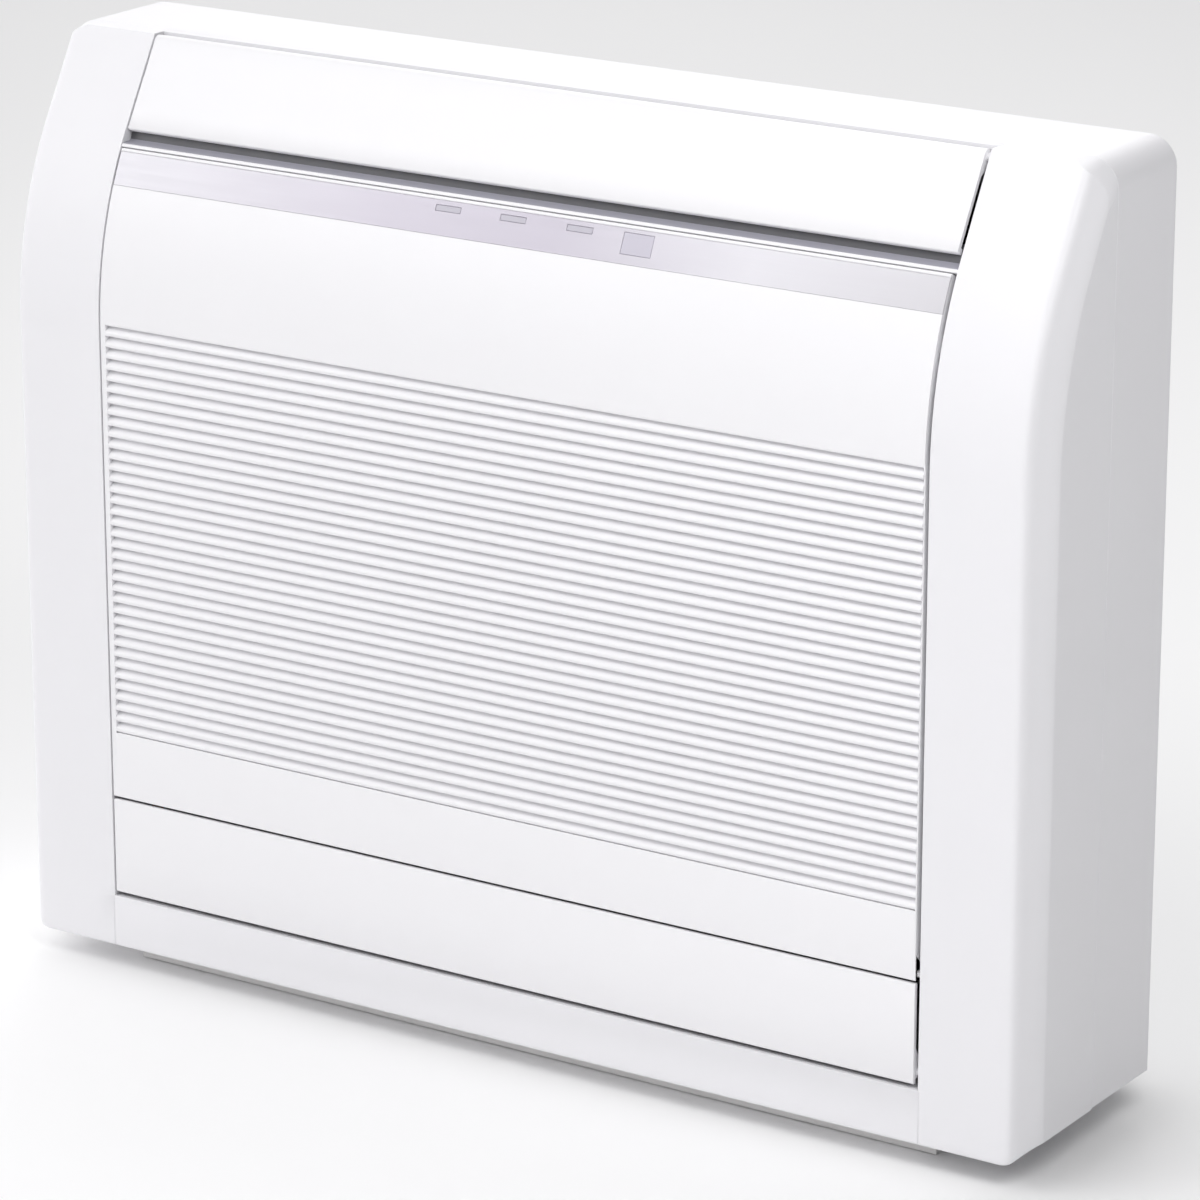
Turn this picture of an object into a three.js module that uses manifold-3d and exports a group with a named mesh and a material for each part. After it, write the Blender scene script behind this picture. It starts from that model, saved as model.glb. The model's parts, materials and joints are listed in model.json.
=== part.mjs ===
// Floor standing air conditioner with two air outlets: a curved upper louver, a ribbed intake grille
// that tips forward, and a lower flap. Inside are a finned coil, two cross-flow fans, filters and electrics.
// Millimetres, +Z up. The front faces -Y, X runs to the right, and the origin is on the floor at mid-depth.
import * as THREE from "three";
import { mergeVertices } from "three/addons/utils/BufferGeometryUtils.js";
import Module from "manifold-3d";

// ---------------------------------------------------------------- driving dimensions
// Whole casing
const WIDTH = 740;
const HEIGHT = 600;
const DEPTH = 200;
const WALL = 2.5; // moulded casing wall
const SEAM_DEPTH = 78; // where the front frame meets the rear casing, behind the front plane
const CASING_DEPTH = 150; // back edge of the rear casing
const SIDE_BOTTOM = 28; // underside of the side walls
const FLANGE_DEPTH = 34; // front to back of a pillar's inner flange
const FLANGE_DROP = 40; // near the top that flange runs all the way back
const LIP_BOTTOM = 16; // underside of the front frame's lower lip
const LIP_DEPTH = 26; // front to back of that lip
const CASING_CORNER = 18; // rounding of the rear casing's top corners
const BACK_HALF_WIDTH = WIDTH / 2 - 32; // inset rear chassis
const BACK_HEIGHT = HEIGHT - 24;
const BACK_CORNER = 8;
const PLINTH_WALL = 4;
const PLINTH_RIB = 3;
const PIPE_EXIT_RADIUS = 28;
const KEYHOLE_INSET = 128; // from the chassis's side
const BRACKET = { half: BACK_HALF_WIDTH - 88, low: BACK_HEIGHT - 130, high: BACK_HEIGHT - 20 };

// Front face: flat, then bent back by an arc, then straight
const PILLAR_WIDTH = 74;
const OPENING_HALF = WIDTH / 2 - PILLAR_WIDTH; // half of the clear width between the two pillars
const PLINTH_HALF_WIDTH = OPENING_HALF - 1;
const CURVE_START = HEIGHT - 175;
const CURVE_RADIUS = 240;
const CURVE_ANGLE = THREE.MathUtils.degToRad(30);
const CURVE_STEPS = 6;

// Heights of the pieces between the pillars
const BAR_TOP = 50.3;
const FLAP_LOW = 53;
const FLAP_HIGH = 116;
const PANEL_LOW = 118;
const PANEL_HIGH = HEIGHT - 64.8;
const STRIP_HEIGHT = 21.7;
const STRIP_LOW = PANEL_HIGH - STRIP_HEIGHT;
const LOUVER_LOW = HEIGHT - 54;
const LOUVER_STIFFENER = LOUVER_LOW + 24;
const RIB_LOW = 161.5; // lowest groove of the intake grille
const RIB_PITCH = 7.2;
const RIB_HIGH = CURVE_START + 4; // the slats end where the face starts to bend
const RIB_COUNT = Math.floor((RIB_HIGH - RIB_LOW) / RIB_PITCH);
const GRILLE_THICK = 8.4; // depth of the ribbed zone
const STILE_X = OPENING_HALF / 3; // uprights that tie the slats together, from the middle

// Running gaps and clearances
const SIDE_GAP = 2; // between a moving front panel and a pillar
const FACE_SETBACK = 0.4; // moving panels sit this far behind the pillars' face
const SEAT_GAP = 0.3; // between pieces that rest on each other
const PLINTH_RECESS = LIP_DEPTH + SEAT_GAP; // the plinth stands behind the lower lip
const PIN_GAP = 0.3; // round a pin in its hole
const PANEL_WALL = 3;

// Hinge pins of the front pieces
const PIN_RADIUS = 3;
const PIN_REACH = 2.2; // how far a pin passes through the pillar's inner wall
const FLAP_PIVOT = { depth: 6, height: 60 };
const GRILLE_PIVOT = { depth: 5, height: 121.5 };
const LOUVER_BEAD = 5; // radius of the louver's rolled rear edge
const LOUVER_PIVOT_DROP = 5.5; // below the top of the casing

// Fans
const BULKHEAD = OPENING_HALF - 12; // inner face of each side bulkhead
const UPPER_FAN = { depth: 120, height: HEIGHT - 104, radius: 42 };
const LOWER_FAN = { depth: 120, height: 112, radius: 38 };
const FAN_LEFT = 12 - BULKHEAD;
const FAN_RIGHT = BULKHEAD - 16;
const FAN_BLADES = 16;
const FAN_DISCS = 3;
const FAN_DISC_WALL = 3;
const BLADE_DEPTH = 10; // radial
const SHAFT_RADIUS = 4;
const HUB_RADIUS = 11;
const MOTOR_RADIUS = 36;
const MOTOR_LENGTH = 42;

// Chassis
const SHEET = 2; // sheet steel
const DUCT_WALL = 2.5;

// Heat exchanger
const COIL = { left: 22 - BULKHEAD, right: BULKHEAD - 28, front: 38, back: 70, low: 156, high: HEIGHT - 164 };
const COIL_FINS = 24;
const COIL_FIN_DEPTH = 3; // depth of the gaps between fins on each face
const COIL_TUBE_RADIUS = 4;
const COIL_BENDS = 6;

// Pipes from the coil: where each leaves it, and where its flare nut stands
const GAS_PIPE = { radius: 6, leaves: 186, nutHeight: 76, nutDepth: 102 };
const LIQUID_PIPE = { radius: 3.2, leaves: 168, nutHeight: 66, nutDepth: 92 };

// Filters and the frame that holds them
const FILTER = { low: 150, high: HEIGHT - 156, wall: 3.4, depth: 16.6, inner: 6, outer: OPENING_HALF - 12 };
const FRAME_FRONT = 14;
const FRAME_BACK = 24;
const FRAME_LOW = 138;
const FRAME_HIGH = HEIGHT - 100;
const FRAME_HALF = OPENING_HALF - SEAT_GAP;
const STUD_X = OPENING_HALF - 6.5;
const STUD_HEIGHT = FRAME_HIGH - 12;
const BUTTON = { x: FILTER.outer - 52, height: FRAME_HIGH - 14, half: 6, near: 16.5, far: 21 };
const BUTTON_TRAVEL = 1.5;
const FILTER_COLUMNS = 5;
const FILTER_ROWS = 5;
const FILTER_BORDER = 8;
const FILTER_RIB = 3;

// Upper outlet and its vanes
const OUTLET_ANGLE = THREE.MathUtils.degToRad(45); // flow direction above the horizontal
const UPPER_LIP_FRONT = [47, HEIGHT - 50];
const UPPER_LIP_BACK = [71.5, HEIGHT - 12.5];
const VANE_COUNT = 4; // in each of the two sets
const VANE_INNER = 52; // distance of the innermost vane from the middle
const VANE_OUTER = BULKHEAD - 64;
const VANE_PITCH = (VANE_OUTER - VANE_INNER) / (VANE_COUNT - 1);
const VANE_HEIGHT = 30;
const VANE_FOOT = 1.2; // above the front wall
const VANE_WALL = 1.6;
const VANE_PIN_RADIUS = 2;
const LINK_WALL = 2;
const LINK_WIDTH = 7;
const LINK_OFFSET = 20; // from a vane's pivot back to its link pin

// Windows in the strip, from the middle of the unit
const RECEIVER = { x: 86.5, half: 10.5, low: PANEL_HIGH - 16.2, high: PANEL_HIGH - 4.2 };
const LAMPS = [-48, -1.5, 45.5];
const LAMP_HALF = 9;
const LAMP_LOW = PANEL_HIGH - 8.2;
const LAMP_HIGH = PANEL_HIGH - 4.7;

// Steel box for the electronics
const BOX = { near: 46, far: 112, low: 190, high: HEIGHT - 170, right: WIDTH / 2 - 20 };
const BOX_WALL = 1.5;
const BOARD_STANDOFF = 6.5;

// ---------------------------------------------------------------- solids
const wasm = await Module();
wasm.setup();

/** A closed three.js geometry as a solid. */
function solid(geometry) {
  const bare = geometry.clone();
  bare.deleteAttribute("normal");
  bare.deleteAttribute("uv");
  const merged = mergeVertices(bare, 1e-4);
  return new wasm.Manifold(
    new wasm.Mesh({
      numProp: 3,
      vertProperties: merged.attributes.position.array,
      triVerts: new Uint32Array(merged.index.array),
    }),
  );
}

const join = (first, ...rest) => rest.reduce((sum, piece) => sum.add(piece), first);
const cut = (first, ...rest) => rest.reduce((left, piece) => left.subtract(piece), first);

/** A solid as a three.js geometry. */
function geometryOf(body) {
  const mesh = body.getMesh();
  const stride = mesh.numProp;
  const positions = new Float32Array(mesh.numVert * 3);
  for (let i = 0; i < mesh.numVert; i++) {
    positions.set(mesh.vertProperties.subarray(i * stride, i * stride + 3), i * 3);
  }
  const geometry = new THREE.BufferGeometry();
  geometry.setAttribute("position", new THREE.BufferAttribute(positions, 3));
  geometry.setIndex(new THREE.BufferAttribute(new Uint32Array(mesh.triVerts), 1));
  geometry.computeVertexNormals();
  return geometry;
}

const shapeOf = (points) => new THREE.Shape(points.map(([a, b]) => new THREE.Vector2(a, b)));
const AXES_X = new THREE.Matrix4().makeBasis(
  new THREE.Vector3(0, 1, 0),
  new THREE.Vector3(0, 0, 1),
  new THREE.Vector3(1, 0, 0),
);

/** A profile of [depth, height] points swept along X. */
function alongX(points, from, to) {
  const geometry = new THREE.ExtrudeGeometry(shapeOf(points), { depth: to - from, bevelEnabled: false });
  return solid(geometry.applyMatrix4(AXES_X).translate(from, 0, 0));
}

/** A profile of [x, height] points swept along Y. */
function alongY(points, from, to) {
  const geometry = new THREE.ExtrudeGeometry(shapeOf(points), { depth: to - from, bevelEnabled: false });
  return solid(geometry.rotateX(Math.PI / 2).translate(0, to, 0));
}

/** A profile of [x, depth] points swept along Z. */
function alongZ(points, from, to) {
  const geometry = new THREE.ExtrudeGeometry(shapeOf(points), { depth: to - from, bevelEnabled: false });
  return solid(geometry.translate(0, 0, from));
}

/** A box between two corners. */
function box(x0, y0, z0, x1, y1, z1) {
  const geometry = new THREE.BoxGeometry(x1 - x0, y1 - y0, z1 - z0);
  return solid(geometry.translate((x0 + x1) / 2, (y0 + y1) / 2, (z0 + z1) / 2));
}

/** A round bar along X. */
function barX(depth, height, radius, from, to, sides = 16) {
  const geometry = new THREE.CylinderGeometry(radius, radius, to - from, sides);
  return solid(geometry.rotateZ(-Math.PI / 2).translate((from + to) / 2, depth, height));
}

/** A round bar along Y. */
function barY(x, height, radius, from, to, sides = 16) {
  const geometry = new THREE.CylinderGeometry(radius, radius, to - from, sides);
  return solid(geometry.translate(x, (from + to) / 2, height));
}

/** A round bar along Z. */
function barZ(x, depth, radius, from, to, sides = 16) {
  const geometry = new THREE.CylinderGeometry(radius, radius, to - from, sides);
  return solid(geometry.rotateX(Math.PI / 2).translate(x, depth, (from + to) / 2));
}

/** A tube or rod swept along a curve. */
function swept(curve, radius, steps, sides = 8) {
  const section = new THREE.Shape();
  section.absarc(0, 0, radius, 0, 2 * Math.PI, false);
  const geometry = new THREE.ExtrudeGeometry(section, {
    steps,
    extrudePath: curve,
    bevelEnabled: false,
    curveSegments: sides,
  });
  return solid(geometry);
}

const mirrored = (body) => body.mirror([1, 0, 0]);

/** Matching closed profiles of [depth, height] at several X, joined by straight faces. */
function loftX(sections) {
  const count = sections[0].points.length;
  const turned = THREE.ShapeUtils.area(shapeOf(sections[0].points).getPoints()) < 0;
  const rings = sections.map(({ x, points }) => {
    const ordered = turned ? [...points].reverse() : points;
    return ordered.map(([depth, height]) => [x, depth, height]);
  });
  const triangles = [];
  for (let r = 0; r + 1 < rings.length; r++) {
    for (let i = 0; i < count; i++) {
      const next = (i + 1) % count;
      triangles.push(rings[r][i], rings[r][next], rings[r + 1][next]);
      triangles.push(rings[r][i], rings[r + 1][next], rings[r + 1][i]);
    }
  }
  const flat = rings.map((ring) => ring.map(([, depth, height]) => new THREE.Vector2(depth, height)));
  for (const [a, b, c] of THREE.ShapeUtils.triangulateShape(flat[0], [])) {
    triangles.push(rings[0][a], rings[0][c], rings[0][b]);
  }
  const last = rings.length - 1;
  for (const [a, b, c] of THREE.ShapeUtils.triangulateShape(flat[last], [])) {
    triangles.push(rings[last][a], rings[last][b], rings[last][c]);
  }
  const geometry = new THREE.BufferGeometry();
  geometry.setAttribute("position", new THREE.Float32BufferAttribute(triangles.flat(), 3));
  return solid(geometry);
}

/** An open line of [depth, height] points thickened to one side of its direction of travel. */
function thickened(points, wall) {
  const offset = points.map(([depth, height], i) => {
    const before = points[Math.max(i - 1, 0)];
    const after = points[Math.min(i + 1, points.length - 1)];
    const along = new THREE.Vector2(after[0] - before[0], after[1] - before[1]).normalize();
    return [depth - along.y * wall, height + along.x * wall];
  });
  return [...points, ...offset.reverse()];
}

/** Points of an arc about [depth, height], angles in degrees from +Y towards +Z. */
function arc(depth, height, radius, from, to, steps, endRadius = radius) {
  return Array.from({ length: steps + 1 }, (_, i) => {
    const share = i / steps;
    const angle = THREE.MathUtils.degToRad(from + (to - from) * share);
    const reach = radius + (endRadius - radius) * share;
    return [depth + reach * Math.cos(angle), height + reach * Math.sin(angle)];
  });
}

// ---------------------------------------------------------------- front face
const CURVE_END = CURVE_START + CURVE_RADIUS * Math.sin(CURVE_ANGLE);
const CURVE_END_DEPTH = CURVE_RADIUS * (1 - Math.cos(CURVE_ANGLE));

/** Lean of the front face from the vertical at a height. */
function frontLean(height) {
  if (height <= CURVE_START) return 0;
  return Math.min(Math.asin(Math.min((height - CURVE_START) / CURVE_RADIUS, 1)), CURVE_ANGLE);
}

/** Depth of the front face behind the front plane at a height. */
function frontDepth(height) {
  const lean = frontLean(height);
  const onArc = CURVE_RADIUS * (1 - Math.cos(lean));
  return height > CURVE_END ? CURVE_END_DEPTH + (height - CURVE_END) * Math.tan(CURVE_ANGLE) : onArc;
}

/** The point that lies a distance behind the front face, square to it, from the face at a height. */
function behindFace(height, distance) {
  const lean = frontLean(height);
  return [frontDepth(height) + distance * Math.cos(lean), height - distance * Math.sin(lean)];
}

/** The front face between two heights, set back by a distance, from low to high. */
function faceLine(low, high, distance = 0) {
  const heights = [low];
  for (let i = 0; i <= CURVE_STEPS; i++) {
    const height = CURVE_START + CURVE_RADIUS * Math.sin((CURVE_ANGLE * i) / CURVE_STEPS);
    if (height > low + 1 && height < high - 1) heights.push(height);
  }
  heights.push(high);
  return heights.map((height) => behindFace(height, distance));
}

/** A skin that follows the front face, between two heights and two distances behind it. */
const skin = (low, high, near, far) => [...faceLine(low, high, near), ...faceLine(low, high, far).reverse()];

// ---------------------------------------------------------------- front frame
// Outline of a pillar across its width: inset from the side, depth behind the face, drop of its top and rise of
// its lip. The drops follow the rear casing's rounded corner.
const PILLAR_ROUNDING = [
  { inset: 18, shift: 0, drop: 0, rise: 0 },
  { inset: 13.3, shift: 1.1, drop: 0.6, rise: 0.9 },
  { inset: 9, shift: 5.5, drop: 2.4, rise: 3.8 },
  { inset: 5.3, shift: 11, drop: 5.3, rise: 6.8 },
  { inset: 2.4, shift: 15.4, drop: 9, rise: 9.4 },
  { inset: 0.6, shift: 18.1, drop: 13.3, rise: 11.1 },
  { inset: 0, shift: 19, drop: 18, rise: 11.6 },
];

/** One cross-section of a pillar, or of its hollow when wall is given. */
function pillarSection({ shift, drop, rise }, wall = 0) {
  const low = LIP_BOTTOM + rise + wall;
  const high = HEIGHT - drop - wall;
  const back = wall > 0 ? SEAM_DEPTH + 1 : SEAM_DEPTH;
  const face = faceLine(low, high, wall).map(([depth, height]) => [depth + shift, height]);
  return [...face, [back, high], [back, SIDE_BOTTOM + wall], [LIP_DEPTH, SIDE_BOTTOM + wall], [LIP_DEPTH - 1 - wall, low]];
}

function pillarBody(innerX, outerX, wall) {
  const sections = [{ x: innerX, points: pillarSection(PILLAR_ROUNDING[0], wall) }];
  for (const step of PILLAR_ROUNDING) sections.push({ x: outerX - step.inset, points: pillarSection(step, wall) });
  return loftX(sections);
}

/** The round holes in a pillar's inner wall that the front pieces' pins turn in. */
function pinHoles() {
  const radius = PIN_RADIUS + PIN_GAP;
  const pivots = [FLAP_PIVOT, GRILLE_PIVOT, louverPivot];
  return pivots.map(({ depth, height }) => barX(depth, height, radius, OPENING_HALF - 1, OPENING_HALF + WALL + 1));
}

const louverPivot = {
  depth: frontDepth(HEIGHT) + LOUVER_BEAD / Math.cos(CURVE_ANGLE) - LOUVER_PIVOT_DROP * Math.tan(CURVE_ANGLE),
  height: HEIGHT - LOUVER_PIVOT_DROP,
};

function frontFrame() {
  const outside = pillarBody(OPENING_HALF, WIDTH / 2, 0);
  const inside = pillarBody(OPENING_HALF + WALL, WIDTH / 2 - WALL, WALL);
  const inner = OPENING_HALF - 1;
  const outer = OPENING_HALF + WALL + 1;
  const flangeBack = box(inner, FLANGE_DEPTH, SIDE_BOTTOM + WALL, outer, SEAM_DEPTH + 1, HEIGHT - FLANGE_DROP);
  const pillar = cut(outside, inside, flangeBack, ...pinHoles());
  const bar = alongX(
    [
      [1.5, LIP_BOTTOM],
      [LIP_DEPTH - 1, LIP_BOTTOM],
      [LIP_DEPTH, SIDE_BOTTOM],
      [LIP_DEPTH - WALL, SIDE_BOTTOM],
      [LIP_DEPTH - WALL - 1, LIP_BOTTOM + WALL],
      [WALL, LIP_BOTTOM + WALL],
      [WALL, BAR_TOP - WALL],
      [LIP_DEPTH - WALL, BAR_TOP - WALL],
      [LIP_DEPTH - WALL, BAR_TOP],
      [1, BAR_TOP],
      [0, BAR_TOP - 1],
      [0, LIP_BOTTOM + 1.5],
    ],
    -OPENING_HALF - 1,
    OPENING_HALF + 1,
  );
  return join(pillar, mirrored(pillar), bar);
}

// ---------------------------------------------------------------- rear casing, chassis and plinth
/** An upright outline with two rounded top corners. */
function archOutline(half, low, high, corner) {
  const steps = 6;
  const right = Array.from({ length: steps + 1 }, (_, i) => {
    const angle = (Math.PI / 2) * (i / steps);
    return [half - corner + corner * Math.cos(angle), high - corner + corner * Math.sin(angle)];
  });
  const left = right.map(([x, z]) => [-x, z]).reverse();
  return [[half, low], ...right, ...left, [-half, low]];
}

function rearCasing() {
  const front = SEAM_DEPTH + SEAT_GAP;
  const tongueFront = louverPivot.depth + LOUVER_BEAD + 0.6;
  const shell = cut(
    alongY(archOutline(WIDTH / 2, SIDE_BOTTOM, HEIGHT, CASING_CORNER), front, CASING_DEPTH),
    alongY(
      archOutline(WIDTH / 2 - WALL, SIDE_BOTTOM + WALL, HEIGHT - WALL, CASING_CORNER - WALL),
      front - 1,
      CASING_DEPTH - WALL,
    ),
    box(-PLINTH_HALF_WIDTH - 2, front - 1, SIDE_BOTTOM - 1, PLINTH_HALF_WIDTH + 2, CASING_DEPTH - WALL, SIDE_BOTTOM + WALL + 1),
    alongY(
      archOutline(BACK_HALF_WIDTH + SEAT_GAP, SIDE_BOTTOM - 1, BACK_HEIGHT + SEAT_GAP, BACK_CORNER),
      CASING_DEPTH - WALL - 1,
      CASING_DEPTH + 1,
    ),
  );
  const half = OPENING_HALF - SIDE_GAP;
  const tongue = box(-half, tongueFront, HEIGHT - WALL, half, front + 4, HEIGHT);
  return join(shell, tongue);
}

const TRAY_FRONT = CASING_DEPTH - 32;
const TRAY_LOW = SIDE_BOTTOM + WALL + SEAT_GAP;

/** Sheet steel tray that closes the back, with a raised rim that the casing sits round. */
function backChassis() {
  const front = TRAY_FRONT;
  const back = DEPTH - SHEET;
  const tray = cut(
    alongY(archOutline(BACK_HALF_WIDTH, TRAY_LOW, BACK_HEIGHT, BACK_CORNER), front, back),
    alongY(
      archOutline(BACK_HALF_WIDTH - SHEET, TRAY_LOW + SHEET, BACK_HEIGHT - SHEET, BACK_CORNER - SHEET),
      front - 1,
      back - SHEET,
    ),
  );
  const [near, far] = [back - SHEET - 1, back + 1];
  const pipeExit = barY(-BACK_HALF_WIDTH + 44, SIDE_BOTTOM + 62, PIPE_EXIT_RADIUS, near, far, 24);
  const keyhole = BACK_HALF_WIDTH - KEYHOLE_INSET;
  const keyholes = [-keyhole, keyhole].map((x) => barY(x, BACK_HEIGHT - 70, 6, near, far, 12));
  return cut(tray, pipeExit, ...keyholes);
}

function plinth() {
  const height = SIDE_BOTTOM + WALL;
  const back = DEPTH - 4;
  const outside = box(-PLINTH_HALF_WIDTH, PLINTH_RECESS, 0, PLINTH_HALF_WIDTH, back, height);
  const bulkheadRib = BULKHEAD + SHEET / 2;
  const outer = PLINTH_HALF_WIDTH - PLINTH_WALL;
  const ribs = [-bulkheadRib, -bulkheadRib / 2, 0, bulkheadRib / 2, bulkheadRib];
  const edges = [-outer, ...ribs.flatMap((x) => [x - PLINTH_RIB / 2, x + PLINTH_RIB / 2]), outer];
  const front = PLINTH_RECESS + PLINTH_WALL;
  const cells = Array.from({ length: edges.length / 2 }, (_, i) =>
    box(edges[2 * i], front, PLINTH_WALL, edges[2 * i + 1], back - PLINTH_WALL, height + 1),
  );
  return cut(outside, ...cells);
}

/** Steel hanging plate between the chassis and the wall. */
function wallBracket() {
  const front = DEPTH - SHEET;
  const { half, low, high } = BRACKET;
  const plate = box(-half, front, low, half, DEPTH, high);
  const spacing = half / 2.5;
  const slots = [-2, -1, 0, 1, 2].map((step) => {
    const x = step * spacing;
    return box(x - 16, front - 1, low + 26, x + 16, DEPTH + 1, low + 38);
  });
  const lightening = [-1.5, -0.5, 0.5, 1.5].map((step) =>
    barY(step * spacing, high - 40, 14, front - 1, DEPTH + 1, 12),
  );
  return cut(plate, ...slots, ...lightening);
}

/** Steel side plate that carries a fan's shaft and the coil's ends. */
function bulkhead() {
  const low = TRAY_LOW;
  const insideTray = TRAY_LOW + SHEET + SEAT_GAP;
  const outline = [
    [LIP_DEPTH + 14, low],
    [TRAY_FRONT - SEAT_GAP, low],
    [TRAY_FRONT - SEAT_GAP, insideTray],
    [DEPTH - 2 * SHEET - SEAT_GAP, insideTray],
    [DEPTH - 2 * SHEET - SEAT_GAP, BACK_HEIGHT - SHEET - SEAT_GAP],
    [96, BACK_HEIGHT - SHEET - SEAT_GAP],
    [34, HEIGHT - 88],
    [34, 130],
    [LIP_DEPTH + 14, 122],
  ];
  const holes = [UPPER_FAN, LOWER_FAN].map(({ depth, height }) =>
    barX(depth, height, HUB_RADIUS + 3, BULKHEAD - 1, BULKHEAD + SHEET + 1, 20),
  );
  const pipeSlot = box(BULKHEAD - 1, 44, 134, BULKHEAD + SHEET + 1, 68, 200);
  return cut(alongX(outline, BULKHEAD, BULKHEAD + SHEET), ...holes, pipeSlot);
}

// ---------------------------------------------------------------- intake grille
const PANEL_HALF = OPENING_HALF - SIDE_GAP;
const RIB_ZONE_LOW = RIB_LOW - RIB_PITCH;
const RIB_ZONE_HIGH = RIB_LOW + RIB_PITCH * RIB_COUNT + 1;

/** The cut between two slats: the lower one's sloping face, then a slot that climbs into the panel under the upper one. */
function airSlot(height) {
  const outline = [
    [-1, height - 8.2],
    [3.4, height - 0.4],
    [GRILLE_THICK + 1, height + 2.6],
    [GRILLE_THICK + 1, height + 4.8],
    [2.2, height + 1.2],
    [FACE_SETBACK, height + 1],
    [-1, height + 1],
  ];
  return alongX(outline, -PANEL_HALF + 4, PANEL_HALF - 1.6);
}

function intakePanel() {
  const stripBed = FACE_SETBACK + 1.3;
  const lower = alongX(skin(PANEL_LOW, STRIP_LOW, FACE_SETBACK, FACE_SETBACK + PANEL_WALL), -PANEL_HALF, PANEL_HALF);
  const upper = alongX(skin(STRIP_LOW - 2, PANEL_HIGH, stripBed, FACE_SETBACK + PANEL_WALL + 0.4), -PANEL_HALF, PANEL_HALF);
  const thick = box(-PANEL_HALF, FACE_SETBACK, RIB_ZONE_LOW, PANEL_HALF, GRILLE_THICK, RIB_ZONE_HIGH);
  const slots = Array.from({ length: RIB_COUNT }, (_, i) => airSlot(RIB_LOW + i * RIB_PITCH));
  const stiles = [-1, 1].map((side) =>
    box(side * STILE_X - 1.3, GRILLE_THICK - 2.2, RIB_ZONE_LOW, side * STILE_X + 1.3, GRILLE_THICK + 1.6, RIB_ZONE_HIGH),
  );
  const ears = [-1, 1].map((side) => {
    const x0 = side > 0 ? PANEL_HALF - 3 : -PANEL_HALF;
    return alongX(
      [
        [FACE_SETBACK + 1, GRILLE_PIVOT.height - 3.5],
        [GRILLE_PIVOT.depth + 3.5, GRILLE_PIVOT.height - 3.5],
        [GRILLE_PIVOT.depth + 3.5, GRILLE_PIVOT.height + 4],
        [FACE_SETBACK + 1, GRILLE_PIVOT.height + 12],
      ],
      x0,
      x0 + 3,
    );
  });
  const pins = [-1, 1].map((side) => {
    const ends = [side * (PANEL_HALF - 1), side * (OPENING_HALF + PIN_REACH)].sort((a, b) => a - b);
    return barX(GRILLE_PIVOT.depth, GRILLE_PIVOT.height, PIN_RADIUS, ...ends);
  });
  return join(cut(join(lower, upper, thick), ...slots), ...stiles, ...ears, ...pins);
}

/** The silver strip along the top of the panel, with its windows cut out. */
function indicatorStrip() {
  const body = alongX(
    skin(STRIP_LOW + SEAT_GAP, PANEL_HIGH, FACE_SETBACK, FACE_SETBACK + 1),
    -PANEL_HALF,
    PANEL_HALF,
  );
  const windows = [
    windowAt(RECEIVER.x, RECEIVER.half, RECEIVER.low, RECEIVER.high, SEAT_GAP),
    ...LAMPS.map((x) => windowAt(x, LAMP_HALF, LAMP_LOW, LAMP_HIGH, SEAT_GAP)),
  ];
  return cut(body, ...windows);
}

/** A flush window in the strip, or the hole for it when grown by a gap. */
function windowAt(x, half, low, high, grown = 0) {
  const [near, far] = grown > 0 ? [-1, 3] : [FACE_SETBACK, FACE_SETBACK + 1];
  return alongX(skin(low - grown, high + grown, near, far), x - half - grown, x + half + grown);
}

/** Round stud behind the panel that snaps into a clip on the filter frame. */
function panelStud(side) {
  const [depth] = behindFace(STUD_HEIGHT + 4, FACE_SETBACK + PANEL_WALL + SEAT_GAP);
  return join(
    barY(side * STUD_X, STUD_HEIGHT, 3, depth, FRAME_FRONT + 3, 12),
    barY(side * STUD_X, STUD_HEIGHT, 4.2, FRAME_FRONT + 2.4, FRAME_FRONT + 4.6, 12),
  );
}

// ---------------------------------------------------------------- louver, flap and slot trim
function upperLouver() {
  const high = HEIGHT - 3;
  const near = FACE_SETBACK;
  const far = near + PANEL_WALL;
  const shell = alongX(skin(LOUVER_LOW, high, near, far), -PANEL_HALF, PANEL_HALF);
  const bead = barX(louverPivot.depth, louverPivot.height, LOUVER_BEAD - FACE_SETBACK, -PANEL_HALF, PANEL_HALF, 24);
  const lowLip = alongX(skin(LOUVER_LOW, LOUVER_LOW + 3, near, far + 2), -PANEL_HALF, PANEL_HALF);
  const stiffener = alongX(
    skin(LOUVER_STIFFENER, LOUVER_STIFFENER + 2.4, far - 1, far + 4),
    -PANEL_HALF + 6,
    PANEL_HALF - 6,
  );
  const pins = [-1, 1].map((side) => {
    const ends = [side * (PANEL_HALF - 1), side * (OPENING_HALF + PIN_REACH)].sort((a, b) => a - b);
    return barX(louverPivot.depth, louverPivot.height, PIN_RADIUS, ...ends);
  });
  return join(shell, bead, lowLip, stiffener, ...pins);
}

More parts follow.
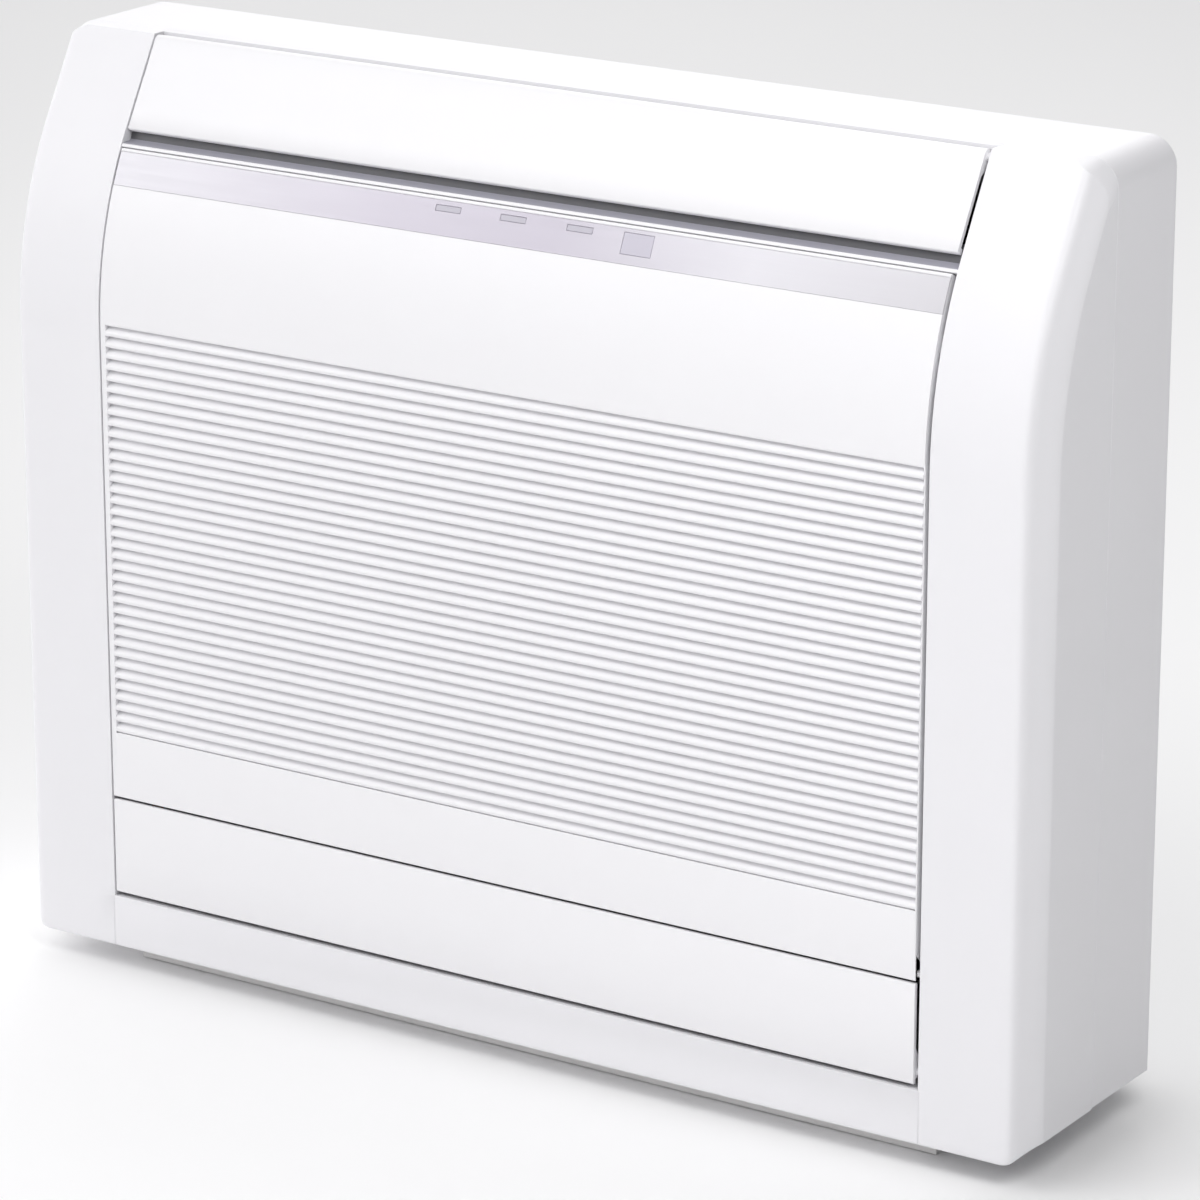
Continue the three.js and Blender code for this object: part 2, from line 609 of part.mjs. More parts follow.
function lowerFlap() {
  const near = FACE_SETBACK;
  const far = near + PANEL_WALL;
  const shell = alongX(
    [
      [near + 1.2, FLAP_LOW],
      [far, FLAP_LOW],
      [far, FLAP_HIGH],
      [near + 0.6, FLAP_HIGH],
      [near, FLAP_HIGH - 0.6],
      [near, FLAP_LOW + 1.2],
    ],
    -PANEL_HALF,
    PANEL_HALF,
  );
  const stiffener = box(-PANEL_HALF + 6, far - 1, 92, PANEL_HALF - 6, far + 4, 94.4);
  const ears = [-1, 1].map((side) => {
    const x0 = side > 0 ? PANEL_HALF - 3 : -PANEL_HALF;
    const { depth, height } = FLAP_PIVOT;
    const outline = [[far - 1, height - 4], [depth + 3, height - 4], [depth + 4, height], [depth + 3, height + 5], [far - 1, height + 16]];
    return alongX(outline, x0, x0 + 3);
  });
  const pins = [-1, 1].map((side) => {
    const ends = [side * (PANEL_HALF - 1), side * (OPENING_HALF + PIN_REACH)].sort((a, b) => a - b);
    return barX(FLAP_PIVOT.depth, FLAP_PIVOT.height, PIN_RADIUS, ...ends);
  });
  return join(shell, stiffener, ...ears, ...pins);
}

/** The dark grooved strip between the panel and the louver. */
function slotTrim() {
  // Each point's height above the louver's lower edge, and its distance behind the face
  const outline = [
    [-12, 6.2],
    [-8.8, 5.4],
    [-8.4, 1.2],
    [-7.4, 1.2],
    [-4.2, 7.5],
    [0, 6.4],
    [6, 6.4],
    [6, 9],
    [-5, 10.5],
    [-12, 9],
  ].map(([rise, distance]) => behindFace(LOUVER_LOW + rise, distance));
  return alongX(outline, -OPENING_HALF + SEAT_GAP, OPENING_HALF - SEAT_GAP);
}

// ---------------------------------------------------------------- filters and their frame
/** Moulded frame behind the panel: two windows, and a channel for each filter that is open at the top. */
function filterFrame() {
  const { low, high, wall, depth, inner, outer } = FILTER;
  const channelBack = depth + wall + SEAT_GAP;
  const plate = box(-FRAME_HALF, FRAME_FRONT, FRAME_LOW, FRAME_HALF, FRAME_BACK, FRAME_HIGH);
  const cuts = [];
  for (const side of [-1, 1]) {
    const [x0, x1] = [side * inner, side * outer].sort((a, b) => a - b);
    cuts.push(box(x0 - SEAT_GAP, depth - SEAT_GAP, low - SEAT_GAP, x1 + SEAT_GAP, channelBack, FRAME_HIGH + 1));
    cuts.push(box(x0 + 5, FRAME_FRONT - 1, low + 6, x1 - 5, FRAME_BACK + 1, high - 8));
    cuts.push(box(x0 + 5, FRAME_FRONT - 1, high - 9, x1 - 5, depth, FRAME_HIGH + 1));
    cuts.push(barY(side * STUD_X, STUD_HEIGHT, 4.6, FRAME_FRONT - 1, FRAME_BACK - 2, 16));
  }
  const panelRoom = FACE_SETBACK + PANEL_WALL + 1.8;
  cuts.push(alongX(skin(440, FRAME_HIGH + 8, -10, panelRoom), -OPENING_HALF, OPENING_HALF));
  const { x, height, half, near, far } = BUTTON;
  const reach = half + PIN_GAP;
  const pocket = far + BUTTON_TRAVEL + 0.1;
  cuts.push(box(x - reach, near - 2, height - reach, x + reach, pocket, height + reach));
  return cut(plate, ...cuts);
}

function filter(side) {
  const { low, high, wall, depth, inner, outer } = FILTER;
  const [x0, x1] = [side * inner, side * outer].sort((a, b) => a - b);
  const plate = box(x0, depth, low, x1, depth + wall, high);
  const cellWidth = (x1 - x0 - 2 * FILTER_BORDER + FILTER_RIB) / FILTER_COLUMNS;
  const cellHeight = (high - low - 2 * FILTER_BORDER + FILTER_RIB) / FILTER_ROWS;
  const cells = [];
  for (let column = 0; column < FILTER_COLUMNS; column++) {
    for (let row = 0; row < FILTER_ROWS; row++) {
      const x = x0 + FILTER_BORDER + column * cellWidth;
      const z = low + FILTER_BORDER + row * cellHeight;
      cells.push(box(x, depth - 1, z, x + cellWidth - FILTER_RIB, depth + wall - 0.8, z + cellHeight - FILTER_RIB));
    }
  }
  const middle = (x0 + x1) / 2;
  const grip = box(middle - 22, depth - 3, high - 5, middle + 22, depth + 1, high - 1);
  return join(cut(plate, ...cells), grip);
}

function manualButton() {
  const { x, height, half, near, far } = BUTTON;
  return join(
    box(x - half, near + 1, height - half, x + half, far, height + half),
    box(x - half + 1, near, height - half + 1, x + half - 1, near + 2, height + half - 1),
  );
}

// ---------------------------------------------------------------- coil, pipes and drain
function coilFins() {
  const { left, right, front, back, low, high } = COIL;
  const pitch = (right - left) / (COIL_FINS - 0.5);
  const fin = pitch / 2;
  const outline = [];
  for (let i = 0; i < COIL_FINS; i++) {
    const x = left + i * pitch;
    outline.push([x, front], [x + fin, front]);
    if (i + 1 < COIL_FINS) outline.push([x + fin, front + COIL_FIN_DEPTH], [x + pitch, front + COIL_FIN_DEPTH]);
  }
  for (let i = COIL_FINS - 1; i >= 0; i--) {
    const x = left + i * pitch;
    outline.push([x + fin, back], [x, back]);
    if (i > 0) outline.push([x, back - COIL_FIN_DEPTH], [x - fin, back - COIL_FIN_DEPTH]);
  }
  return alongZ(outline, low, high);
}

/** End plate of the coil with its copper return bends brazed in. */
function coilEnd(side) {
  const { left, right, front, back, low, high } = COIL;
  const face = side > 0 ? right + SEAT_GAP : left - SEAT_GAP;
  const [x0, x1] = [face, face + side * SHEET].sort((a, b) => a - b);
  const plate = box(x0, front - 2, low - 3, x1, back + 2, high + 3);
  const spacing = (high - low) / COIL_BENDS;
  const firstBend = side > 0 ? 0 : 1; // the pipes leave where the left plate's lowest bend would be
  const bends = Array.from({ length: COIL_BENDS - firstBend }, (_, i) => {
    const z = low + spacing * (i + firstBend + 0.5);
    const y = (front + back) / 2;
    const lean = side > 0 ? 8 : -8;
    const foot = face + side * (SHEET / 2);
    const curve = new THREE.CubicBezierCurve3(
      new THREE.Vector3(foot, y - lean, z - 12),
      new THREE.Vector3(foot + side * 17, y - lean, z - 12),
      new THREE.Vector3(foot + side * 17, y + lean, z + 12),
      new THREE.Vector3(foot, y + lean, z + 12),
    );
    return swept(curve, COIL_TUBE_RADIUS, 5, 3);
  });
  return join(plate, ...bends);
}

/** Refrigerant pipe from the coil's left end, through the bulkhead and down to its flare nut. */
function refrigerantPipe({ radius, leaves, nutHeight, nutDepth }) {
  const middle = (COIL.front + COIL.back) / 2;
  const start = -BULKHEAD + 10;
  const run = -BULKHEAD - 24 - (radius > 4 ? 20 : 0);
  const points = [
    new THREE.Vector3(COIL.left - SHEET - SEAT_GAP * 2, middle, leaves),
    new THREE.Vector3(start, middle, leaves),
    new THREE.Vector3(run + 6, middle, leaves),
    new THREE.Vector3(run, middle, leaves - 8),
    new THREE.Vector3(run, nutDepth - 8, nutHeight + 24),
    new THREE.Vector3(run, nutDepth, nutHeight),
  ];
  const curve = new THREE.CatmullRomCurve3(points, false, "centripetal");
  const nutRadius = radius * 2.1;
  const nut = barZ(run, nutDepth, nutRadius, nutHeight - 18, nutHeight + 2, 6);
  const bore = barZ(run, nutDepth, radius, nutHeight - 23, nutHeight - 9, 12);
  return join(swept(curve, radius, 16, 4), cut(nut, bore));
}

function drainPan() {
  const { left, right, front, back, low } = COIL;
  const floor = low - 16;
  const end = BULKHEAD - SEAT_GAP;
  const outer = [
    [front - 6, floor + 4],
    [front + 6, floor - 4],
    [back + 2, floor],
    [back + 10, floor + 18],
  ];
  const inner = [
    [back + 7.5, floor + 18],
    [back, floor + 2.6],
    [front + 7, floor - 1.4],
    [front - 4, floor + 6],
    [front - 4, floor + 14],
    [front - 6, floor + 14],
  ];
  const trough = alongX([...outer, ...inner], -end, end);
  const ends = [-end, end - 2].map((x) => alongX([...outer, [front - 6, floor + 14]], x, x + 2));
  const cradles = [left + 20, right - 28].map((x) => box(x, front + 2, floor - 1, x + 8, back - 2, low - SEAT_GAP));
  const spout = { depth: front + 20, height: floor + 7 };
  const tube = barX(spout.depth, spout.height, 7, -BULKHEAD - 18, -end + 1, 12);
  const bore = barX(spout.depth, spout.height, 5, -BULKHEAD - 19, -end + 3, 12);
  return cut(join(trough, ...ends, ...cradles, tube), bore);
}

// ---------------------------------------------------------------- fans
function fanRotor({ radius }) {
  const length = FAN_RIGHT - FAN_LEFT;
  const blades = Array.from({ length: FAN_BLADES }, (_, i) => {
    const turn = (2 * Math.PI * i) / FAN_BLADES;
    const point = (reach, angle) => [reach * Math.cos(turn + angle), reach * Math.sin(turn + angle)];
    const outer = radius - 0.6;
    const inner = radius - BLADE_DEPTH;
    const middle = (outer + inner) / 2;
    const outline = [point(inner, 0), point(middle, 0.035), point(outer, 0.14), point(middle, -0.02)];
    return alongX(outline, FAN_LEFT + 1, FAN_RIGHT - 1);
  });
  const discs = Array.from({ length: FAN_DISCS }, (_, i) => {
    const x = FAN_LEFT + ((length - FAN_DISC_WALL) * i) / (FAN_DISCS - 1);
    const disc = barX(0, 0, radius, x, x + FAN_DISC_WALL, 24);
    const isEnd = i === 0 || i === FAN_DISCS - 1;
    return isEnd ? disc : cut(disc, barX(0, 0, radius - BLADE_DEPTH - 4, x - 1, x + FAN_DISC_WALL + 1, 12));
  });
  const hubs = [barX(0, 0, HUB_RADIUS, FAN_LEFT - 8, FAN_LEFT + 1, 16), barX(0, 0, HUB_RADIUS, FAN_RIGHT - 1, FAN_RIGHT + 8, 16)];
  const bore = barX(0, 0, SHAFT_RADIUS, FAN_LEFT - 20, FAN_RIGHT + 20, 16);
  return cut(join(...discs, ...blades, ...hubs), bore);
}

/** Steel shaft through the rotor, from the bearing on the left to the motor on the right. */
const fanShaft = () => barX(0, 0, SHAFT_RADIUS - 0.3, -BULKHEAD - SHEET - 8, BULKHEAD + SHEET + 16, 16);

/** Rubber-mounted plain bearing in its housing, on the outside of the left bulkhead. */
function fanBearing() {
  const x1 = -BULKHEAD - SHEET - SEAT_GAP;
  const housing = join(barX(0, 0, 19, x1 - 4, x1, 20), barX(0, 0, 12, x1 - 12, x1 - 3, 16));
  return cut(housing, barX(0, 0, SHAFT_RADIUS, x1 - 10, x1 + 1, 16));
}

function fanMotor() {
  const x0 = BULKHEAD + SHEET + SEAT_GAP;
  const can = new THREE.LatheGeometry(
    [
      [0, 4],
      [13, 4],
      [16, 7],
      [MOTOR_RADIUS - 4, 7],
      [MOTOR_RADIUS, 11],
      [MOTOR_RADIUS, MOTOR_LENGTH - 5],
      [MOTOR_RADIUS - 5, MOTOR_LENGTH],
      [0, MOTOR_LENGTH],
    ].map(([radius, height]) => new THREE.Vector2(radius, height)),
    20,
  );
  const body = solid(can.rotateZ(-Math.PI / 2).translate(x0, 0, 0));
  const flange = box(x0, -30, -30, x0 + 9, 30, 30);
  const corners = [-1, 1].flatMap((a) => [-1, 1].map((b) => barX(a * 25, b * 25, 2.2, x0 - 1, x0 + 10, 6)));
  const bore = barX(0, 0, SHAFT_RADIUS, x0 - 1, x0 + 18, 16);
  return cut(join(body, flange), barX(0, 0, 12, x0 - 1, x0 + 5, 20), ...corners, bore);
}

// ---------------------------------------------------------------- air ducts
const OUTLET_DIRECTION = [-Math.cos(OUTLET_ANGLE), Math.sin(OUTLET_ANGLE)];

/** A point a distance back along the upper outlet's flow from a start point. */
const upstream = ([depth, height], distance) => [
  depth - OUTLET_DIRECTION[0] * distance,
  height - OUTLET_DIRECTION[1] * distance,
];
const DUCT_HALF = BULKHEAD - SEAT_GAP;

/** Rear wall of the upper outlet: a scroll round the fan that runs straight to the louver. */
function upperScroll() {
  const { depth, height, radius } = UPPER_FAN;
  const scroll = arc(depth, height, radius + 6, -50, 90, 10, radius + 9);
  const path = [...scroll, upstream(UPPER_LIP_BACK, 34), UPPER_LIP_BACK];
  return alongX(thickened(path, -DUCT_WALL), -DUCT_HALF, DUCT_HALF);
}

/** Front wall of the upper outlet, from the tongue beside the fan to the slot trim. */
function upperTongue() {
  const far = upstream(UPPER_LIP_FRONT, 44);
  const hook = [far[0] - 2.6, far[1] - 14];
  const wall = alongX(thickened([UPPER_LIP_FRONT, far, hook], -DUCT_WALL), -DUCT_HALF, DUCT_HALF);
  const places = [...vanePlaces(-1), ...vanePlaces(1)];
  const holes = places.map((x) => inOutlet(barZ(x, 0, VANE_PIN_RADIUS + PIN_GAP, -DUCT_WALL - 3, 2, 8)));
  return cut(wall, ...holes);
}

const LOWER_LIP_LOW = [LIP_DEPTH - WALL + SEAT_GAP, BAR_TOP];
const LOWER_LIP_HIGH = [16, 122];

/** Floor of the lower outlet: a scroll under the fan that runs forward to the flap. */
function lowerScroll() {
  const { depth, height, radius } = LOWER_FAN;
  const scroll = arc(depth, height, radius + 8, -85, 60, 10, radius + 5);
  const path = [LOWER_LIP_LOW, ...scroll];
  const guides = [-1, -0.5, 0, 0.5, 1].map((share) =>
    alongX(
      [
        [LOWER_LIP_LOW[0] + 2, BAR_TOP + 0.5],
        [LOWER_LIP_LOW[0] + 40, BAR_TOP + 4],
        [LOWER_LIP_LOW[0] + 34, BAR_TOP + 26],
        [LOWER_LIP_LOW[0] + 6, BAR_TOP + 22],
      ],
      share * VANE_OUTER - 1,
      share * VANE_OUTER + 1,
    ),
  );
  return join(alongX(thickened(path, -DUCT_WALL), -DUCT_HALF, DUCT_HALF), ...guides);
}

/** Roof of the lower outlet, from the tongue in front of the fan to the panel's foot. */
function lowerTongue() {
  const { depth, height, radius } = LOWER_FAN;
  const beside = depth - radius + 2; // the tongue passes close in front of the fan
  const path = [[beside, height + 34], [beside - 3, height + 14], [beside - 22, height + 8], LOWER_LIP_HIGH];
  return alongX(thickened(path, -DUCT_WALL), -DUCT_HALF, DUCT_HALF);
}

// ---------------------------------------------------------------- upper outlet vanes
// In the vane group, Y runs back along the flow and Z stands square to the front wall of the outlet.
function vane(x) {
  const outline = [
    [-6, VANE_FOOT],
    [24, VANE_FOOT],
    [24, VANE_HEIGHT - 8],
    [12, VANE_HEIGHT - 5],
    [-2, VANE_HEIGHT],
    [-6, VANE_HEIGHT - 10],
  ];
  const blade = alongX(outline, x - VANE_WALL / 2, x + VANE_WALL / 2);
  const foot = join(
    barZ(x, 0, VANE_PIN_RADIUS, -DUCT_WALL - 1, VANE_FOOT + 1, 8),
    barZ(x, 0, VANE_PIN_RADIUS + 1.6, 0.4, VANE_FOOT, 8),
  );
  const linkPin = barZ(x, LINK_OFFSET, 1.5, VANE_HEIGHT - 8, VANE_HEIGHT + 2, 6);
  return join(blade, foot, linkPin);
}

/** Flat bar that the vanes of one set hang from by their link pins. */
function vaneLink(side) {
  const places = vanePlaces(side);
  const low = Math.min(...places) - 6;
  const high = Math.max(...places) + 6;
  const bottom = VANE_HEIGHT - 3;
  const bar = box(low, LINK_OFFSET - LINK_WIDTH / 2, bottom, high, LINK_OFFSET + LINK_WIDTH / 2, bottom + LINK_WALL);
  const slots = places.map((x) =>
    box(x - 2.1, LINK_OFFSET - LINK_WIDTH / 2 - 1, bottom - 1, x + 2.1, LINK_OFFSET + 2.1, bottom + LINK_WALL + 1),
  );
  return cut(bar, ...slots);
}

const vanePlaces = (side) => Array.from({ length: VANE_COUNT }, (_, i) => side * (VANE_INNER + i * VANE_PITCH));

/** Moves a solid from the vane group's own frame to the front datum. */
function inOutlet(body) {
  const [depth, height] = VANE_ORIGIN;
  return body.rotate([-THREE.MathUtils.radToDeg(OUTLET_ANGLE), 0, 0]).translate([0, depth, height]);
}
const VANE_ORIGIN = upstream(UPPER_LIP_FRONT, 18);

// ---------------------------------------------------------------- electrics
/** Steel tray for the electronics on the right bulkhead, open to the side. Its board stands on spacers. */
function controlBox() {
  const x0 = BULKHEAD + SHEET + SEAT_GAP;
  const { near, far, low, high, right } = BOX;
  return cut(
    box(x0, near, low, right, far, high),
    box(x0 + BOX_WALL, near + BOX_WALL, low + BOX_WALL, right + 1, far - BOX_WALL, high - BOX_WALL),
  );
}

const controlCover = () => {
  const { near, far, low, high, right } = BOX;
  const face = right + SEAT_GAP;
  const plate = box(face, near - 2, low - 2, face + 1.5, far + 2, high + 2);
  const slots = Array.from({ length: 7 }, (_, i) => box(face - 1, near + 12, high - 30 - i * 12, face + 3, far - 12, high - 26 - i * 12));
  return cut(plate, ...slots);
};

function circuitBoard() {
  const boxFloor = BULKHEAD + SHEET + SEAT_GAP * 2 + BOX_WALL;
  const x0 = boxFloor + BOARD_STANDOFF;
  const { near, far, low, high } = BOX;
  const board = box(x0, near + 4, low + 58, x0 + 1.6, far - 4, high - 6);
  const spacers = [near + 10, far - 10].flatMap((depth) =>
    [low + 66, high - 14].map((height) => barX(depth, height, 3, boxFloor, x0 + 0.5, 8)),
  );
  const parts = [
    barX(near + 18, high - 40, 8, x0 + 1, x0 + 30, 14),
    barX(near + 18, high - 66, 8, x0 + 1, x0 + 30, 14),
    box(x0 + 1, far - 34, high - 70, x0 + 22, far - 12, high - 30),
    box(x0 + 1, near + 12, low + 74, x0 + 16, near + 40, low + 104),
    box(x0 + 1, far - 20, low + 72, x0 + 12, far - 8, low + 120),
  ];
  return join(board, ...spacers, ...parts);
}

function terminalBlock() {
  const x0 = BULKHEAD + SHEET + SEAT_GAP * 2 + BOX_WALL;
  const { near, far, low } = BOX;
  const base = box(x0, near + 8, low + 8, x0 + 16, far - 8, low + 44);
  const pitch = (far - near - 20) / 4;
  const cells = Array.from({ length: 4 }, (_, i) => box(x0 + 8, near + 11 + i * pitch, low + 11, x0 + 17, near + 9 + (i + 1) * pitch, low + 41));
  return cut(base, ...cells);
}

/** Small geared stepper motor on the outside of the right pillar's inner wall, offset from its output shaft. */
function stepper(depth, height) {
  const x0 = OPENING_HALF + WALL + SEAT_GAP;
  const can = barX(depth, height, 10.5, x0, x0 + 18, 20);
  const boss = barX(0, 0, 1.6, x0, x0 + 4, 8);
  const across = new THREE.Vector2(-height, depth).normalize().multiplyScalar(1.5);
  const strap = alongX(
    [
      [-across.x, -across.y],
      [depth - across.x, height - across.y],
      [depth + across.x, height + across.y],
      [across.x, across.y],
    ],
    x0,
    x0 + 2,
  );
  return join(can, boss, strap);
}

/** Circuit board behind the strip's windows, hung from the slot trim. */
const displayBoard = () => {
  const ends = [LAMPS[0] - 22, RECEIVER.x + 25.5];
  return alongX(skin(STRIP_LOW - 1.5, PANEL_HIGH - 1.6, 6.6, 8.2), ...ends);
};

// ---------------------------------------------------------------- materials
const finish = (color, roughness, metalness = 0) => new THREE.MeshStandardMaterial({ color, roughness, metalness });
const whitePlastic = () => finish(0xf4f3f6, 0.42);
const lightPlastic = () => finish(0xdcdbdf, 0.5);
const stripSilver = () => finish(0xd2cfda, 0.32, 0.35);
const windowTint = () => finish(0xb9b5c4, 0.2);
const trimGrey = () => finish(0x77767f, 0.4);
const filterGrey = () => finish(0x8f98a3, 0.7);
const darkPlastic = () => finish(0x2b2c30, 0.6);
const galvanised = () => finish(0xb7babd, 0.35, 0.9);
const aluminium = () => finish(0xc9cdd2, 0.3, 0.95);
const copper = () => finish(0xb5703f, 0.3, 0.95);
const boardGreen = () => finish(0x2f6b4a, 0.5);
const rubber = () => finish(0x333333, 0.85);

// ---------------------------------------------------------------- assembly
const airConditioner = new THREE.Group();
const datum = new THREE.Group(); // its Y counts back from the front plane
datum.position.y = -DEPTH / 2;
airConditioner.add(datum);

function place(group, name, body, material, x = 0, depth = 0, height = 0) {
  const mesh = new THREE.Mesh(geometryOf(body), material);
  mesh.name = name;
  mesh.position.set(x, depth, height);
  group.add(mesh);
}

// Casing and chassis
place(datum, "front_frame", frontFrame(), whitePlastic());
place(datum, "rear_casing", rearCasing(), whitePlastic());
place(datum, "back_chassis", backChassis(), galvanised());
place(datum, "plinth", plinth(), lightPlastic());
place(datum, "wall_bracket", wallBracket(), galvanised());
place(datum, "bulkhead_right", bulkhead(), galvanised());
place(datum, "bulkhead_left", mirrored(bulkhead()), galvanised());
place(datum, "slot_trim", slotTrim(), trimGrey());
place(datum, "display_board", displayBoard(), boardGreen());
place(datum, "filter_frame", filterFrame(), lightPlastic());
place(datum, "upper_scroll", upperScroll(), lightPlastic());
place(datum, "upper_tongue", upperTongue(), lightPlastic());
place(datum, "lower_scroll", lowerScroll(), lightPlastic());
place(datum, "lower_tongue", lowerTongue(), lightPlastic());

// Front pieces
place(datum, "intake_panel", intakePanel(), whitePlastic());
place(datum, "indicator_strip", indicatorStrip(), stripSilver());
place(datum, "receiver_window", windowAt(RECEIVER.x, RECEIVER.half, RECEIVER.low, RECEIVER.high), windowTint());
LAMPS.forEach((x, i) => place(datum, `lamp_window_${i + 1}`, windowAt(x, LAMP_HALF, LAMP_LOW, LAMP_HIGH), windowTint()));
place(datum, "panel_stud_left", panelStud(-1), lightPlastic());
place(datum, "panel_stud_right", panelStud(1), lightPlastic());
place(datum, "upper_louver", upperLouver(), whitePlastic());
place(datum, "lower_flap", lowerFlap(), whitePlastic());
place(datum, "filter_left", filter(-1), filterGrey());
place(datum, "filter_right", filter(1), filterGrey());
place(datum, "manual_button", manualButton(), darkPlastic());

// Coil and drain
place(datum, "coil_fins", coilFins(), aluminium());
place(datum, "coil_end_left", coilEnd(-1), copper());
place(datum, "coil_end_right", coilEnd(1), copper());
place(datum, "gas_pipe", refrigerantPipe(GAS_PIPE), copper());
place(datum, "liquid_pipe", refrigerantPipe(LIQUID_PIPE), copper());
place(datum, "drain_pan", drainPan(), darkPlastic());

// Fans with their shafts, bearings and motors
for (const [level, fan] of [["upper", UPPER_FAN], ["lower", LOWER_FAN]]) {
  place(datum, `${level}_fan`, fanRotor(fan), darkPlastic(), 0, fan.depth, fan.height);
  place(datum, `${level}_fan_shaft`, fanShaft(), galvanised(), 0, fan.depth, fan.height);
  place(datum, `${level}_fan_bearing`, fanBearing(), rubber(), 0, fan.depth, fan.height);
  place(datum, `${level}_fan_motor`, fanMotor(), galvanised(), 0, fan.depth, fan.height);
}

// Electrics
place(datum, "control_box", controlBox(), galvanised());
place(datum, "control_box_cover", controlCover(), galvanised());
place(datum, "circuit_board", circuitBoard(), boardGreen());
place(datum, "terminal_block", terminalBlock(), darkPlastic());
place(datum, "louver_motor", stepper(8, -12.5), galvanised(), 0, louverPivot.depth, louverPivot.height);
place(datum, "flap_motor", stepper(9, 0), galvanised(), 0, FLAP_PIVOT.depth, FLAP_PIVOT.height);

// Upper outlet vanes and their links
const outlet = new THREE.Group();
outlet.position.set(0, ...VANE_ORIGIN);
outlet.rotation.x = -OUTLET_ANGLE;
datum.add(outlet);
for (const [hand, side] of [["left", -1], ["right", 1]]) {
  vanePlaces(side).forEach((x, i) => place(outlet, `vane_${hand}_${i + 1}`, vane(0), lightPlastic(), x));
  place(outlet, `vane_link_${hand}`, vaneLink(side), lightPlastic());
}

export default airConditioner;
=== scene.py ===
# %% [markdown]
# # A floor console air conditioner, dressed over its working frame
# The construction is already packed as a frame of solids: casing, panels, fans, vanes and electrics, each
# on a body that moves. This lesson gives that frame its finish. Pieces that show their edges to the eye
# are remade here with finer curves and rounded edges, and ride on the same bodies. Every other solid is
# copied, with its edges broken, and gets a material. The frame is in metres: X to the right, Y from the
# front towards the wall, Z up. The pieces are typed in millimetres, as on a maker's drawing.

# %% Load the frame
import json
import math

import bmesh
import bpy
from mathutils import Matrix, Vector

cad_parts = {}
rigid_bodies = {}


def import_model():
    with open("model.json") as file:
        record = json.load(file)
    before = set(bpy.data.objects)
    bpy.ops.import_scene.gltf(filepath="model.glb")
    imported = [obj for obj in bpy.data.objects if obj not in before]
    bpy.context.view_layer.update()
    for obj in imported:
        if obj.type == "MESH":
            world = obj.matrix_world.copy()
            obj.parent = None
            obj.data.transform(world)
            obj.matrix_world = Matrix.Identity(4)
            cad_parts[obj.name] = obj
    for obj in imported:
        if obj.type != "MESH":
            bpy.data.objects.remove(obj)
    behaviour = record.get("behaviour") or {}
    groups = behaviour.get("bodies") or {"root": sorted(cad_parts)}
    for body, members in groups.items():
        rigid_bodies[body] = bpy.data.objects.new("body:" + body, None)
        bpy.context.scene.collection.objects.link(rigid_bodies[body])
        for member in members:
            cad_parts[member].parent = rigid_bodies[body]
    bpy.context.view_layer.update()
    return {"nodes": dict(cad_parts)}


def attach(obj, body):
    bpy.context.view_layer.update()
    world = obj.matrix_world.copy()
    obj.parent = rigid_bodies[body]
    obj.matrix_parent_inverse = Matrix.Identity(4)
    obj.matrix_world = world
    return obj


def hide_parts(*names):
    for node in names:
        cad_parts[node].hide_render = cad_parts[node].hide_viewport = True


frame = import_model()
MM = 0.001

# %% [markdown]
# ## Camera
# A camera could be placed by eye, but the picture to match was solved instead: its long edges give the
# angle, the height and the distance. The lens is long, so the edges of the casing run nearly parallel.
# The camera looks at a point in the middle of the casing from the right and from above. The picture was
# taken with the lens shifted, which keeps uprights upright. No shift is used here, so uprights draw
# together a little downwards.

# %% Camera
CAMERA_AZIMUTH = math.radians(33.1)
CAMERA_ELEVATION = math.radians(17.5)
CAMERA_DISTANCE = 3.3
CAMERA_TARGET = Vector((0.01, 0.0, 0.275))
CAMERA_LENS = 161.3
SENSOR_WIDTH = 36.0
FARTHEST_SEEN = 50.0


def camera_axes(azimuth, elevation):
    """Right, up and forward of a level camera at an azimuth to the right and an elevation above."""
    flat = math.cos(elevation)
    forward = Vector((-math.sin(azimuth) * flat, math.cos(azimuth) * flat, -math.sin(elevation)))
    right = Vector((math.cos(azimuth), math.sin(azimuth), 0.0))
    return right, right.cross(forward), forward


right, up, forward = camera_axes(CAMERA_AZIMUTH, CAMERA_ELEVATION)
camera = bpy.data.objects.new("studio_camera", bpy.data.cameras.new("studio_camera"))
bpy.context.scene.collection.objects.link(camera)
camera.data.lens = CAMERA_LENS
camera.data.sensor_width = SENSOR_WIDTH
camera.data.clip_end = FARTHEST_SEEN
turn = Matrix((right, up, -forward)).transposed().to_4x4()
camera.matrix_world = Matrix.Translation(CAMERA_TARGET - forward * CAMERA_DISTANCE) @ turn
bpy.context.scene.camera = camera
print("camera stands at", [round(v, 3) for v in camera.matrix_world.translation])

# %% [markdown]
# ## Shader sums
# Node trees are slow to read as lists of links. A small class wraps one output socket, so that a mask can
# be written as a sum, such as `1 - mask`, and each sum adds its own Math node. Every node comes from one
# function, which gives a node its settings before it fills the sockets.


# %% Shader sums
class Wire:
    """One output socket; sums on it add Math nodes."""

    def __init__(self, tree, socket):
        self.tree, self.socket = tree, socket

    def _math(self, operation, first, second):
        return make_node(self.tree, "ShaderNodeMath", {"operation": operation}, {0: first, 1: second})

    def __sub__(self, other):
        return self._math("SUBTRACT", self, other)

    def __rsub__(self, other):
        return self._math("SUBTRACT", other, self)

    def __mul__(self, other):
        return self._math("MULTIPLY", self, other)

    __rmul__ = __mul__


def plug(tree, value, socket):
    """Links a Wire to a socket, or sets a plain value on it."""
    if isinstance(value, Wire):
        tree.links.new(value.socket, socket)
    else:
        socket.default_value = value


